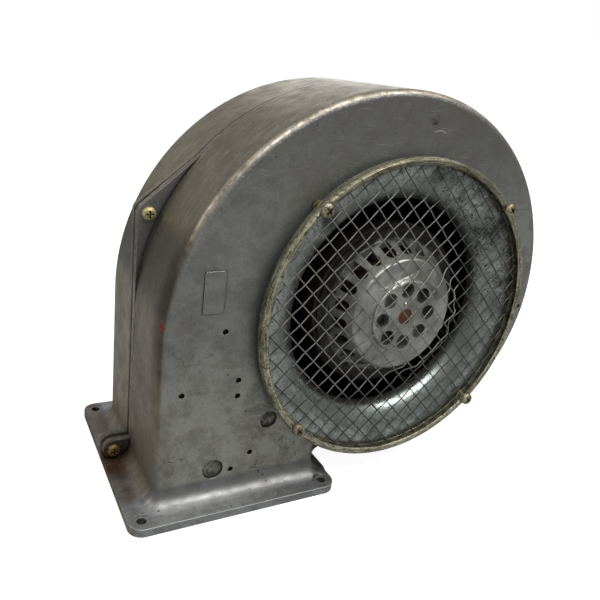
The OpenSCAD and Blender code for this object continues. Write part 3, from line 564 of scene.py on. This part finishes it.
def galvanised_finish(name):
    """Zinc sheet with faint spangles and smears, a sooty film and specks at the upper right,
    painted shade slightly darkening its right side, and painted shade deep in its hollows.
    """
    f = Finish(name)
    wobble = f.shaken(160.0, 12 * MM)
    tone = f.axis(f.cells(150, wobble), "X")
    fine = f.axis(f.cells(420, wobble), "Y")
    grain = f.noise(620, 4, 0.7)
    cloud = f.step(f.noise(34, 6, 0.68), 0.42, 0.66)
    streak = f.noise(1.0, 5, 0.7, f.round_axis(2.2, 260))
    from_axis = f.stretched((1, 1, 1), centre=AXIS)
    across = f.axis(from_axis, "X")
    up = f.axis(from_axis, "Z")
    upper_right = f.step(across * 0.75 + up * 0.66, 30 * MM, 100 * MM)
    specks = f.step(f.noise(600, 4, 0.75), 0.5, 0.6) * f.step(f.noise(60, 4, 0.6), 0.4, 0.6)
    few = f.step(f.noise(420, 2, 0.6), 0.66, 0.7)
    dirt = specks * upper_right + few * 0.5
    dark_film = f.step(f.noise(50, 6, 0.75), 0.5, 0.62) * upper_right
    # a dark spot on the sheet beside the upper left guard screw
    dark_patch = f.spot(NOZZLE_DARK_SPOT, 3 * MM, 10 * MM) * f.step(f.noise(140, 4, 0.7), 0.3, 0.5)
    skin = f.mix(tone * 0.6, linear(150, 158, 154), linear(180, 188, 184))
    skin = f.mix(fine * 0.35, skin, linear(200, 206, 202))
    skin = f.mix(cloud * 0.6, skin, linear(112, 116, 108))
    skin = f.layers(skin,
                    (grain, 0.5, 0.36, 0.4, linear(96, 98, 90)),
                    (streak, 0.54, 0.68, 0.35, linear(216, 222, 220)),
                    # painted shade: the sheet slightly darker towards its right
                    (across, 20 * MM, 90 * MM, 0.1, linear(112, 112, 104)))
    skin = f.mix(dirt, skin, linear(24, 23, 19))
    skin = f.mix(dark_film * 0.75, skin, linear(46, 45, 40))
    skin = f.mix(dark_patch * 0.8, skin, linear(30, 29, 24))
    # painted shade deep in the throat and hollows
    skin = f.layers(skin, (f.hollow(20 * MM), 0.85, 0.2, 0.5, NOZZLE_SHADE))
    rough = 0.24 + tone * 0.06 + cloud * 0.14 + dirt * 0.3 + dark_film * 0.2
    f.set(Base_Color=skin, Roughness=rough, Metallic=0.92)
    return f.bump(tone * 0.4 + fine * 0.2 + grain * 0.3 - dirt, 0.14, 0.2 * MM).material


def rolled_finish(name):
    """The guard's rolled rim: yellow zinc worn along the ring, with painted shade in its folds and
    at its top.
    """
    f = Finish(name)
    streak = f.noise(1.0, 6, 0.75, f.round_axis(14, 900))
    lines = f.noise(1.0, 3, 0.6, f.round_axis(3, 1500))
    film = f.noise(60, 5, 0.7)
    grain = f.noise(520, 5, 0.75)
    height = f.axis(f.place, "Z")
    skin = f.mix(f.step(film, 0.36, 0.6), linear(132, 126, 102), linear(188, 184, 160))
    skin = f.layers(skin,
                    (lines, 0.52, 0.66, 0.6, linear(222, 218, 198)),
                    (lines, 0.47, 0.36, 0.6, linear(74, 66, 48)),
                    (streak, 0.52, 0.66, 0.5, linear(216, 212, 190)),
                    (streak, 0.49, 0.37, 0.85, linear(50, 43, 30)),
                    (grain, 0.51, 0.6, 0.75, linear(46, 40, 28)),
                    # painted shade: the rim darker towards its top and in its folds
                    (height, AXIS.z + 50 * MM, AXIS.z + 110 * MM, 0.45, linear(60, 54, 40)),
                    (f.hollow(3 * MM), 0.8, 0.3, 0.85, linear(20, 18, 14)))
    wear = f.worn_edges(0.5 * MM) * f.step(f.noise(140, 3), 0.4, 0.6)
    skin = f.mix(wear * 0.7, skin, linear(226, 222, 204))
    f.set(Base_Color=skin, Roughness=0.38 + f.step(grain, 0.3, 0.7) * 0.22, Metallic=0.8)
    return f.bump(grain * 0.4 + streak * 0.6 + lines * 0.4, 0.6, 0.3 * MM).material


def plated_finish(name, pale, deep, dark, speckle, metallic=0.7, rusty=None, lit=None):
    """Zinc plate worn to a speckle of pale metal, film and dark pits.

    Rusty is the place of a rusted screw. Lit is a middle, a radius and the colour inside it:
    painted light that makes the wires within it lighter."""
    f = Finish(name)
    film = f.noise(90, 4, 0.6)
    grain = f.noise(420, 4, 0.7)
    pits = f.noise(980, 3, 0.65)
    skin = f.mix(f.step(film, 0.38, 0.64), deep, pale)
    skin = f.layers(skin,
                    (grain, 0.5, 0.7, speckle, pale),
                    (grain, 0.5, 0.36, speckle, dark),
                    (pits, 0.58, 0.7, speckle, dark))
    wear = f.worn_edges(0.5 * MM) * 0.5
    skin = f.mix(wear, skin, linear(206, 198, 170))
    if rusty:
        rust = f.mix(f.step(grain, 0.4, 0.6), linear(84, 54, 30), linear(156, 112, 68))
        skin = f.mix(f.spot(rusty, 8 * MM, 4 * MM) * 0.8, skin, rust)
    # painted light: lighter wires within a radius of a middle
    if lit:
        middle, radius, colour = lit
        skin = f.mix(f.spot(middle, radius, 5 * MM) * 0.85, skin, colour)
    # painted shade deep in crevices and recesses
    skin = f.layers(skin, (f.hollow(2 * MM), 0.85, 0.5, 0.94, PLATE_SHADE))
    rough = 0.42 + f.step(grain, 0.3, 0.7) * 0.2 - wear * 0.15
    f.set(Base_Color=skin, Roughness=rough, Metallic=metallic)
    return f.bump(grain * 0.6 - f.step(pits, 0.55, 0.7) * 0.5, 0.4, 0.25 * MM).material


def turned_finish(name, base, light, dark, ring_scale, metallic=0.55, roughness=0.42,
                  darker_from=None):
    """Machined or turned metal: fine rings round the wheel's axis, smudges and small pores.

    Darker_from holds the radii where a dark film starts and where it is full."""
    f = Finish(name)
    from_axis = f.stretched((1, 1, 1), (90, 0, 0), AXIS)
    rings = f.node("ShaderNodeTexWave",
                   {"wave_type": "RINGS", "rings_direction": "Z", "wave_profile": "SIN"},
                   {"Vector": from_axis, "Scale": ring_scale, "Distortion": 0.6, "Detail": 2.0,
                    "Detail Scale": 4.0})[1]
    dark_patch = f.noise(38, 4, 0.6)
    grain = f.noise(700, 3, 0.6)
    skin = f.mix(f.step(dark_patch, 0.36, 0.68), dark, base)
    skin = f.mix(rings * 0.22, skin, light)
    skin = f.layers(skin,
                    (grain, 0.58, 0.72, 0.25, dark),
                    # painted shade deep in hollows
                    (f.hollow(8 * MM), 0.85, 0.3, 0.6, TURNED_SHADE))
    skin = f.mix(f.worn_edges(0.8 * MM) * 0.5, skin, light)
    if darker_from:
        # a dark film that grows towards the rim
        out = f.stretched((1, 0, 1), centre=AXIS)
        radius = f.node("ShaderNodeVectorMath", {"operation": "LENGTH"}, {0: out})["Value"]
        dark_film = f.step(radius, *darker_from) * f.step(f.noise(90, 4, 0.7), 0.2, 0.5, 0.8, 1.0)
        skin = f.mix(dark_film * 0.95, skin, linear(34, 32, 28))
    rough = roughness + f.step(dark_patch, 0.3, 0.7) * 0.12 - rings * 0.06
    f.set(Base_Color=skin, Roughness=rough, Metallic=metallic)
    return f.bump(rings * 0.4 + grain * 0.4, 0.12, 0.12 * MM).material


def dusty_finish(name, base, dust, metallic=0.6, roughness=0.5):
    """Dark metal under a film of dust."""
    f = Finish(name)
    film = f.step(f.noise(70, 4, 0.65), 0.4, 0.7)
    grain = f.noise(900, 2, 0.6)
    skin = f.layers(f.mix(film * 0.7, base, dust), (grain, 0.56, 0.7, 0.25, base))
    f.set(Base_Color=skin, Roughness=roughness + film * 0.25, Metallic=metallic)
    return f.bump(grain * 0.4 + film * 0.3, 0.2, 0.15 * MM).material


def rubber_finish(name):
    """Matte rubber with a fine mould texture."""
    f = Finish(name)
    grain = f.noise(1200, 2, 0.5)
    bloom = f.step(f.noise(110, 3), 0.45, 0.75)
    skin = f.mix(bloom * 0.3, (0.012, 0.012, 0.012), (0.05, 0.05, 0.05))
    f.set(Base_Color=skin, Roughness=0.62 + bloom * 0.15, Metallic=0.0)
    return f.bump(grain, 0.2, 0.1 * MM).material


# Pieces


def new_piece(name, bm, material):
    """Puts a finished bmesh in the scene as an object at the origin."""
    mesh = bpy.data.meshes.new(name)
    bm.to_mesh(mesh)
    bm.free()
    piece = bpy.data.objects.new(name, mesh)
    bpy.context.scene.collection.objects.link(piece)
    mesh.materials.append(material)
    return piece


def smooth(piece, degrees):
    """Smooth shading, with an edge where two faces meet at more than so many degrees."""
    piece.data.shade_smooth()
    piece.data.set_sharp_from_angle(angle=math.radians(degrees))


def body_of(node):
    """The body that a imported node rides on."""
    return frame["nodes"][node]["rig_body"]


def dressed(node, name, material, bevel_width, smooth_under=34, even=False):
    """Replaces a node by its own shape, joined up, with softened edges and smooth curves.

    Even keeps large flat faces free of the shading of the curves beside them."""
    bm = bmesh.new()
    bm.from_mesh(frame["nodes"][node].data)
    bmesh.ops.remove_doubles(bm, verts=bm.verts, dist=JOIN)
    bmesh.ops.dissolve_limit(bm, angle_limit=math.radians(FLAT_DEG), verts=bm.verts,
                             edges=bm.edges)
    piece = new_piece(name, bm, material)
    smooth(piece, smooth_under)
    if even:
        flat = piece.modifiers.new("Even normals", "WEIGHTED_NORMAL")
        flat.keep_sharp = True
        flat.weight = EVEN_WEIGHT
    if bevel_width:
        bevel = piece.modifiers.new("Softened edges", "BEVEL")
        bevel.width = bevel_width
        bevel.segments = 2
        bevel.limit_method = "ANGLE"
        bevel.angle_limit = math.radians(BEVEL_OVER_DEG)
        bevel.use_clamp_overlap = True
        bevel.harden_normals = False
    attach(piece, body_of(node))
    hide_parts(node)
    return piece


# Sizes and colours that a user would change


class BlowerView(bpy.types.PropertyGroup):
    place: FloatVectorProperty(
        name="Place", description="Where the camera stands", subtype="TRANSLATION", unit="LENGTH",
        default=(-0.16547, -0.39841, 0.29146))
    heading: FloatProperty(
        name="Heading", description="Turn of the view from +Y towards +X", unit="ROTATION",
        default=math.radians(29.164))
    dip: FloatProperty(
        name="Dip", description="Angle of the view below level", unit="ROTATION",
        default=math.radians(19.174))
    roll: FloatProperty(
        name="Roll", description="Turn of the camera about its own axis", unit="ROTATION",
        default=math.radians(6.6))
    focal_px: FloatProperty(
        name="Focal length", description="Focal length in pixels of the picture", default=626.19)
    centre_px: FloatVectorProperty(
        name="Centre", description="Where the camera's axis meets the picture, in pixels",
        size=2, default=(282.13, 288.26))
    key_power: FloatProperty(name="Key light", description="Power of the large lamp", default=11.0)
    fill_power: FloatProperty(name="Fill light", description="Power of the side lamps", default=3.0)
    spark_power: FloatProperty(
        name="Spark light", description="Power of the small lamp at the right", default=2.0)
    sky: FloatProperty(name="Sky", description="Strength of the light from above", default=0.55)


class BlowerCasting(bpy.types.PropertyGroup):
    edge_soft: FloatProperty(
        name="Edge softness", description="Radius of the softened edges", unit="LENGTH",
        default=0.8 * MM)
    face: FloatVectorProperty(
        name="Face", description="Colour of the flat front", subtype="COLOR",
        default=linear(144, 144, 139))
    # Painted light: the paler colour of the face low down, as if lit from the floor
    face_low_lit: FloatVectorProperty(
        name="Low face", description="Colour of the flat front's lower end", subtype="COLOR",
        default=linear(188, 187, 176))
    front_side: FloatVectorProperty(
        name="Front walls", description="Colour of the front casting's walls", subtype="COLOR",
        default=linear(146, 136, 117))
    rear_side: FloatVectorProperty(
        name="Rear walls", description="Colour of the rear casting's walls", subtype="COLOR",
        default=linear(162, 153, 132))
    flange: FloatVectorProperty(
        name="Flange", description="Colour of the outlet flange's top", subtype="COLOR",
        default=linear(164, 166, 167))
    # Worn metal is also the colour of painted highlights on the flange's front edge and beside the
    # screw ear
    bright: FloatVectorProperty(
        name="Worn metal", description="Colour of scratches and worn edges", subtype="COLOR",
        default=linear(205, 204, 198))
    # Painted highlight, partly worn metal, along the rounded front edge
    rubbed_highlight: FloatVectorProperty(
        name="Rubbed edge", description="Colour of the rounded front edge", subtype="COLOR",
        default=linear(204, 190, 176))
    # Stain is also the colour of painted shade towards the top of the face
    stain: FloatVectorProperty(
        name="Stain", description="Colour of the darker patches", subtype="COLOR",
        default=linear(104, 101, 95))
    # Dirt is also the colour of painted shade in hollows, on recess floors and beside the lower
    # front edge
    dirt: FloatVectorProperty(
        name="Dirt", description="Colour of dirt in hollows, pores and seams", subtype="COLOR",
        default=linear(28, 25, 21))
    rust: FloatVectorProperty(
        name="Rust", description="Colour of the stain round the foot screw", subtype="COLOR",
        default=linear(92, 68, 46))
    paint: FloatVectorProperty(
        name="Paint", description="Colour of the small dab of paint", subtype="COLOR",
        default=linear(160, 26, 26))


class BlowerGuard(bpy.types.PropertyGroup):
    wire: FloatProperty(
        name="Wire", description="Diameter of the guard's wire", unit="LENGTH", default=0.88 * MM)
    # Painted light: the wires within this circle are coloured lighter
    light_place: FloatVectorProperty(
        name="Clean middle", description="Middle of the clean wires, across and up",
        size=2, unit="LENGTH", default=(0.092, 0.15))
    light_r: FloatProperty(
        name="Clean radius", description="Radius within which the wires are clean", unit="LENGTH",
        default=72 * MM)
    pitch: FloatProperty(
        name="Pitch", description="Spacing of the guard's wires", unit="LENGTH", default=10 * MM)
    fold: FloatProperty(
        name="Fold radius", description="Radius of the mesh's raised middle", unit="LENGTH",
        default=48 * MM)
    steps: IntProperty(
        name="Steps", description="Points of a wire per pitch", default=4)


# Operators


class BLOWER_OT_stage(bpy.types.Operator):
    """Makes the camera, the lamps, the sky and the pale floor"""

    bl_idname = "blower.stage"
    bl_label = "Stage"

    def execute(self, context):
        scene = context.scene
        view = scene.blower_view
        scene.view_settings.view_transform = "Standard"
        self.camera(scene, view)
        self.lamps(scene, view)
        self.sky(scene, view)
        self.floor()
        return {"FINISHED"}

    def camera(self, scene, view):
        data = bpy.data.cameras.new("view")
        eye = bpy.data.objects.new("view", data)
        scene.collection.objects.link(eye)
        ahead = Vector((math.sin(view.heading) * math.cos(view.dip),
                        math.cos(view.heading) * math.cos(view.dip), -math.sin(view.dip)))
        turned = ahead.to_track_quat("-Z", "Y").to_matrix().to_4x4()
        turned = turned @ Matrix.Rotation(view.roll, 4, "Z")
        eye.matrix_world = Matrix.Translation(view.place) @ turned
        data.sensor_width = SENSOR_MM
        data.lens = view.focal_px / PICTURE_PX * SENSOR_MM
        data.shift_x = (PICTURE_PX / 2 - view.centre_px[0]) / PICTURE_PX
        data.shift_y = (view.centre_px[1] - PICTURE_PX / 2) / PICTURE_PX
        data.clip_start = NEAREST
        scene.camera = eye

    def lamp(self, scene, name, place, aim, size, power):
        data = bpy.data.lights.new(name, "AREA")
        data.shape = "RECTANGLE"
        data.size, data.size_y = size
        data.energy = power
        lamp = bpy.data.objects.new(name, data)
        scene.collection.objects.link(lamp)
        lamp.location = place
        lamp.rotation_mode = "QUATERNION"
        lamp.rotation_quaternion = (Vector(aim) - Vector(place)).to_track_quat("-Z", "Y")

    def lamps(self, scene, view):
        for name, place, aim, size, power in LAMPS:
            self.lamp(scene, name, place, aim, size, getattr(view, power))

    def sky(self, scene, view):
        """White to the camera, and a soft light that grows with height to all else."""
        world = bpy.data.worlds.new("sky")
        scene.world = world
        world.use_nodes = True
        tree = world.node_tree
        tree.nodes.clear()
        path, most, place, split, rise, even, white, pick, out = (
            tree.nodes.new("ShaderNode" + kind)
            for kind in ("LightPath", "Math", "TexCoord", "SeparateXYZ", "MapRange", "Background",
                         "Background", "MixShader", "OutputWorld"))
        most.operation = "MAXIMUM"
        rise.inputs["From Min"].default_value = SKY_START
        rise.inputs["To Min"].default_value = view.sky * SKY_LOW
        rise.inputs["To Max"].default_value = view.sky
        even.inputs["Color"].default_value = SKY_COLOUR
        white.inputs["Color"].default_value = (1.0, 1.0, 1.0, 1.0)
        white.inputs["Strength"].default_value = 1.0
        for source, output, target, socket in (
                (path, "Is Camera Ray", most, 0), (path, "Is Transmission Ray", most, 1),
                (place, "Generated", split, 0), (split, "Z", rise, "Value"),
                (rise, 0, even, "Strength"), (most, 0, pick, 0), (even, 0, pick, 1),
                (white, 0, pick, 2), (pick, 0, out, 0)):
            tree.links.new(source.outputs[output], target.inputs[socket])

    def floor(self):
        """A floor that looks white to the camera and grey to everything it lights."""
        bm = bmesh.new()
        bmesh.ops.create_grid(bm, x_segments=1, y_segments=1, size=FLOOR_HALF)
        f = Finish("floor")
        seen = f.node("ShaderNodeLightPath")["Is Camera Ray"]
        f.set(Base_Color=f.mix(seen, (0.4, 0.4, 0.4), (0.35, 0.35, 0.35)), Roughness=0.95,
              Emission_Color=f.mix(seen, (0.0, 0.0, 0.0), (0.93, 0.93, 0.93)))
        f.shader.inputs["Emission Strength"].default_value = 1.0
        floor = new_piece("floor", bm, f.material)


class BLOWER_OT_castings(bpy.types.Operator):
    """Makes the two halves of the scroll housing"""

    bl_idname = "blower.castings"
    bl_label = "Castings"

    def execute(self, context):
        look = context.scene.blower_casting
        front = Casting("front casting", look, look.front_side).material
        rear = Casting("rear casting", look, look.rear_side).material
        dressed("front_housing", "front_casting", front, 0, even=True)
        dressed("rear_housing", "rear_casting", rear, 0, even=True)
        return {"FINISHED"}


class BLOWER_OT_nozzle(bpy.types.Operator):
    """Makes the inlet nozzle"""

    bl_idname = "blower.nozzle"
    bl_label = "Inlet nozzle"

    def execute(self, context):
        zinc = galvanised_finish("galvanised sheet")
        dressed("inlet_nozzle", "nozzle", zinc, 0, smooth_under=50)
        return {"FINISHED"}


class BLOWER_OT_guard(bpy.types.Operator):
    """Makes the guard's rim and its woven mesh"""

    bl_idname = "blower.guard"
    bl_label = "Guard"

    def execute(self, context):
        look = context.scene.blower_guard
        dressed("guard_rim", "rim", rolled_finish("worn yellow zinc"), 0, smooth_under=50)
        middle = (look.light_place[0], GUARD_BOX[1].y, look.light_place[1])
        wire = plated_finish("guard wire", linear(104, 101, 91), linear(76, 72, 63),
                             linear(40, 36, 30), 0.4,
                             lit=(middle, look.light_r, linear(146, 145, 137)))
        self.net(context, look, wire)
        return {"FINISHED"}

    def height(self, look, flat):
        """How far the mesh stands above its rim: steep at the lower right, gentle elsewhere."""
        lean = max(0.0, (flat.x - flat.z * 0.5) / max(flat.length, MM))
        run = MESH_RAISE * (STEEP_RUN + GENTLE_RUN * (1 - lean) ** 2)
        share = min(max((look.fold - flat.length) / run, 0.0), 1.0)
        return MESH_RAISE * share * share * (3 - 2 * share)

    def net(self, context, look, material):
        curve = bpy.data.curves.new("net", "CURVE")
        curve.dimensions = "3D"
        curve.bevel_depth = look.wire / 2
        curve.bevel_resolution = 2
        curve.use_fill_caps = True
        edge = MESH_R - look.wire / 2
        level = GUARD_BOX[1].y - MESH_T / 2
        count = int(edge / look.pitch) + 1
        for family in (0, 1):
            along = Vector((math.cos(math.pi / 4), 0, math.sin(math.pi / 4) * (1 - 2 * family)))
            across = Vector((-along.z, 0, along.x))
            for row in range(-count, count + 1):
                offset = row * look.pitch
                if abs(offset) >= edge:
                    continue
                half = math.sqrt(edge * edge - offset * offset)
                self.wire(curve, look, along, across, offset, half, level, family, row)
        holder = bpy.data.objects.new("net curve", curve)
        context.scene.collection.objects.link(holder)
        context.view_layer.update()
        settled = holder.evaluated_get(context.evaluated_depsgraph_get())
        mesh = bpy.data.meshes.new_from_object(settled)
        bpy.data.objects.remove(holder)
        piece = bpy.data.objects.new("guard_net", mesh)
        context.scene.collection.objects.link(piece)
        mesh.materials.clear()
        mesh.materials.append(material)
        mesh.shade_smooth()
        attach(piece, body_of("guard_mesh"))
        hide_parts("guard_mesh")

    def wire(self, curve, look, along, across, offset, half, level, family, row):
        """One crimped wire: it passes over and under the wires that cross it."""
        step = look.pitch / look.steps
        first = math.ceil(-half / step)
        last = math.floor(half / step)
        places = [-half] + [n * step for n in range(first, last + 1)] + [half]
        places = [p for i, p in enumerate(places)
                  if i == 0 or p - places[i - 1] > step * SHORTEST]
        spline = curve.splines.new("POLY")
        spline.points.add(len(places) - 1)
        for point, run in zip(spline.points, places):
            flat = along * run + across * offset
            wave = math.cos(math.pi * (run / look.pitch + row + family))
            rise = self.height(look, flat) + wave * look.wire * CRIMP
            point.co = (AXIS.x + flat.x, level - rise, AXIS.z + flat.z, 1.0)


class BLOWER_OT_fasteners(bpy.types.Operator):
    """Makes the screws and spacers"""

    bl_idname = "blower.fasteners"
    bl_label = "Fasteners"

    def execute(self, context):
        brass = plated_finish("yellow zinc screws", linear(196, 184, 136), linear(150, 132, 84),
                              linear(54, 44, 26), 0.4, 0.85, rusty=FOOT_SCREW)
        worn = plated_finish("worn zinc screws", linear(188, 182, 156), linear(132, 124, 98),
                             linear(44, 37, 26), 0.6, 0.85)
        plain = plated_finish("zinc screws", linear(170, 170, 164), linear(128, 126, 118),
                              linear(70, 66, 60), 0.35, 0.8)
        for node, name, material in (("guard_screws", "guard_screw_set", worn),
                                     ("seam_screws", "seam_screw_set", brass),
                                     ("motor_screws", "motor_screw_set", plain),
                                     ("wheel_screws", "wheel_screw_set", plain)):
            dressed(node, name, material, 0.18 * MM, smooth_under=40)
        spacer = plated_finish("spacers", linear(150, 140, 108), linear(104, 90, 60),
                               linear(44, 36, 24), 0.8)
        dressed("guard_spacers", "spacer_set", spacer, 0.2 * MM)
        return {"FINISHED"}


class BLOWER_OT_hub(bpy.types.Operator):
    """Makes the rotor's cast hub, the shaft's end and the rivet"""

    bl_idname = "blower.hub"
    bl_label = "Hub"

    def execute(self, context):
        cast = turned_finish("hub casting", linear(184, 185, 180), linear(220, 220, 214),
                             linear(126, 125, 120), 420, 0.85, 0.4, darker_from=(0.049, 0.054))
        dressed("rotor_hub", "hub", cast, 0.5 * MM, smooth_under=38)
        steel = turned_finish("shaft steel", linear(132, 82, 42), linear(160, 120, 80),
                              linear(70, 42, 22), 900, 0.5, 0.5)
        dressed("shaft", "shaft_end", steel, 0.2 * MM)
        bright = turned_finish("rivet steel", linear(200, 200, 196), linear(230, 230, 226),
                               linear(150, 150, 146), 900, 0.9, 0.25)
        dressed("balance_rivet", "rivet", bright, 0)
        return {"FINISHED"}


class BLOWER_OT_wheel(bpy.types.Operator):
    """Makes the blades, ring and back plate of the wheel and the rotor behind the hub"""

    bl_idname = "blower.wheel"
    bl_label = "Wheel"

    def execute(self, context):
        sheet = dusty_finish("wheel sheet", linear(58, 58, 56), linear(92, 86, 74))
        for node in ("impeller_blades", "impeller_ring", "impeller_backplate"):
            dressed(node, node.replace("impeller", "wheel"), sheet, 0.25 * MM)
        rust = dusty_finish("rusty core", linear(24, 17, 13), linear(44, 31, 21), 0.3, 0.7)
        dressed("rotor_core", "rotor_stack", rust, 0.4 * MM)
        cast = turned_finish("end ring casting", linear(128, 128, 124), linear(170, 170, 166),
                             linear(90, 88, 84), 420)
        dressed("rotor_end_ring", "end_ring", cast, 0.4 * MM)
        dressed("wheel_clamp_ring", "clamp_ring", cast, 0.3 * MM)
        return {"FINISHED"}


class BLOWER_OT_motor(bpy.types.Operator):
    """Makes the stator, the bearings and the motor flange"""

    bl_idname = "blower.motor"
    bl_label = "Motor"

    def execute(self, context):
        cast = turned_finish("motor flange casting", linear(132, 132, 128), linear(178, 178, 172),
                             linear(96, 94, 90), 260)
        dressed("motor_flange", "flange_plate", cast, 0.5 * MM)
        steel = turned_finish("bearing steel", linear(170, 170, 172), linear(210, 210, 212),
                              linear(110, 110, 112), 900, 0.9, 0.25)
        for node in ("front_bearing", "rear_bearing"):
            dressed(node, node + "_race", steel, 0.2 * MM)
        dark = dusty_finish("blued spring steel", linear(48, 48, 54), linear(80, 78, 74), 0.8, 0.35)
        for node in ("preload_spring", "retaining_ring"):
            dressed(node, node + "_steel", dark, 0.15 * MM)
        stack = dusty_finish("stator stack", linear(62, 62, 66), linear(84, 78, 70), 0.6, 0.5)
        dressed("stator_core", "stator_stack", stack, 0.2 * MM)
        copper = dusty_finish("varnished copper", linear(52, 30, 18), linear(44, 36, 28), 0.3, 0.55)
        dressed("stator_windings", "windings", copper, 0)
        dressed("wire_grommet", "grommet", rubber_finish("grommet rubber"), 0.3 * MM)
        return {"FINISHED"}


class BLOWER_PT_panel(bpy.types.Panel):
    """Lists the blower's pieces in the sidebar"""

    bl_idname = "BLOWER_PT_panel"
    bl_label = "Blower"
    bl_space_type = "VIEW_3D"
    bl_region_type = "UI"
    bl_category = "Blower"

    def draw(self, context):
        column = self.layout.column()
        for step in OPERATORS:
            column.operator(step.bl_idname)
        for group in (context.scene.blower_view, context.scene.blower_casting,
                      context.scene.blower_guard):
            for name in group.__annotations__:
                column.prop(group, name)


GROUPS = {"blower_view": BlowerView, "blower_casting": BlowerCasting, "blower_guard": BlowerGuard}
OPERATORS = (BLOWER_OT_stage, BLOWER_OT_castings, BLOWER_OT_nozzle, BLOWER_OT_guard,
             BLOWER_OT_fasteners, BLOWER_OT_hub, BLOWER_OT_wheel, BLOWER_OT_motor)


def register():
    for group in GROUPS.values():
        bpy.utils.register_class(group)
    for step in OPERATORS:
        bpy.utils.register_class(step)
    bpy.utils.register_class(BLOWER_PT_panel)
    for name, group in GROUPS.items():
        setattr(bpy.types.Scene, name, PointerProperty(type=group))


def unregister():
    for name in GROUPS:
        delattr(bpy.types.Scene, name)
    bpy.utils.unregister_class(BLOWER_PT_panel)
    for step in reversed(OPERATORS):
        bpy.utils.unregister_class(step)
    for group in reversed(GROUPS.values()):
        bpy.utils.unregister_class(group)


def main():
    register()
    bpy.ops.blower.stage()
    bpy.ops.blower.castings()
    bpy.ops.blower.nozzle()
    bpy.ops.blower.guard()
    bpy.ops.blower.fasteners()
    bpy.ops.blower.hub()
    bpy.ops.blower.wheel()
    bpy.ops.blower.motor()


if __name__ == "__main__":
    main()
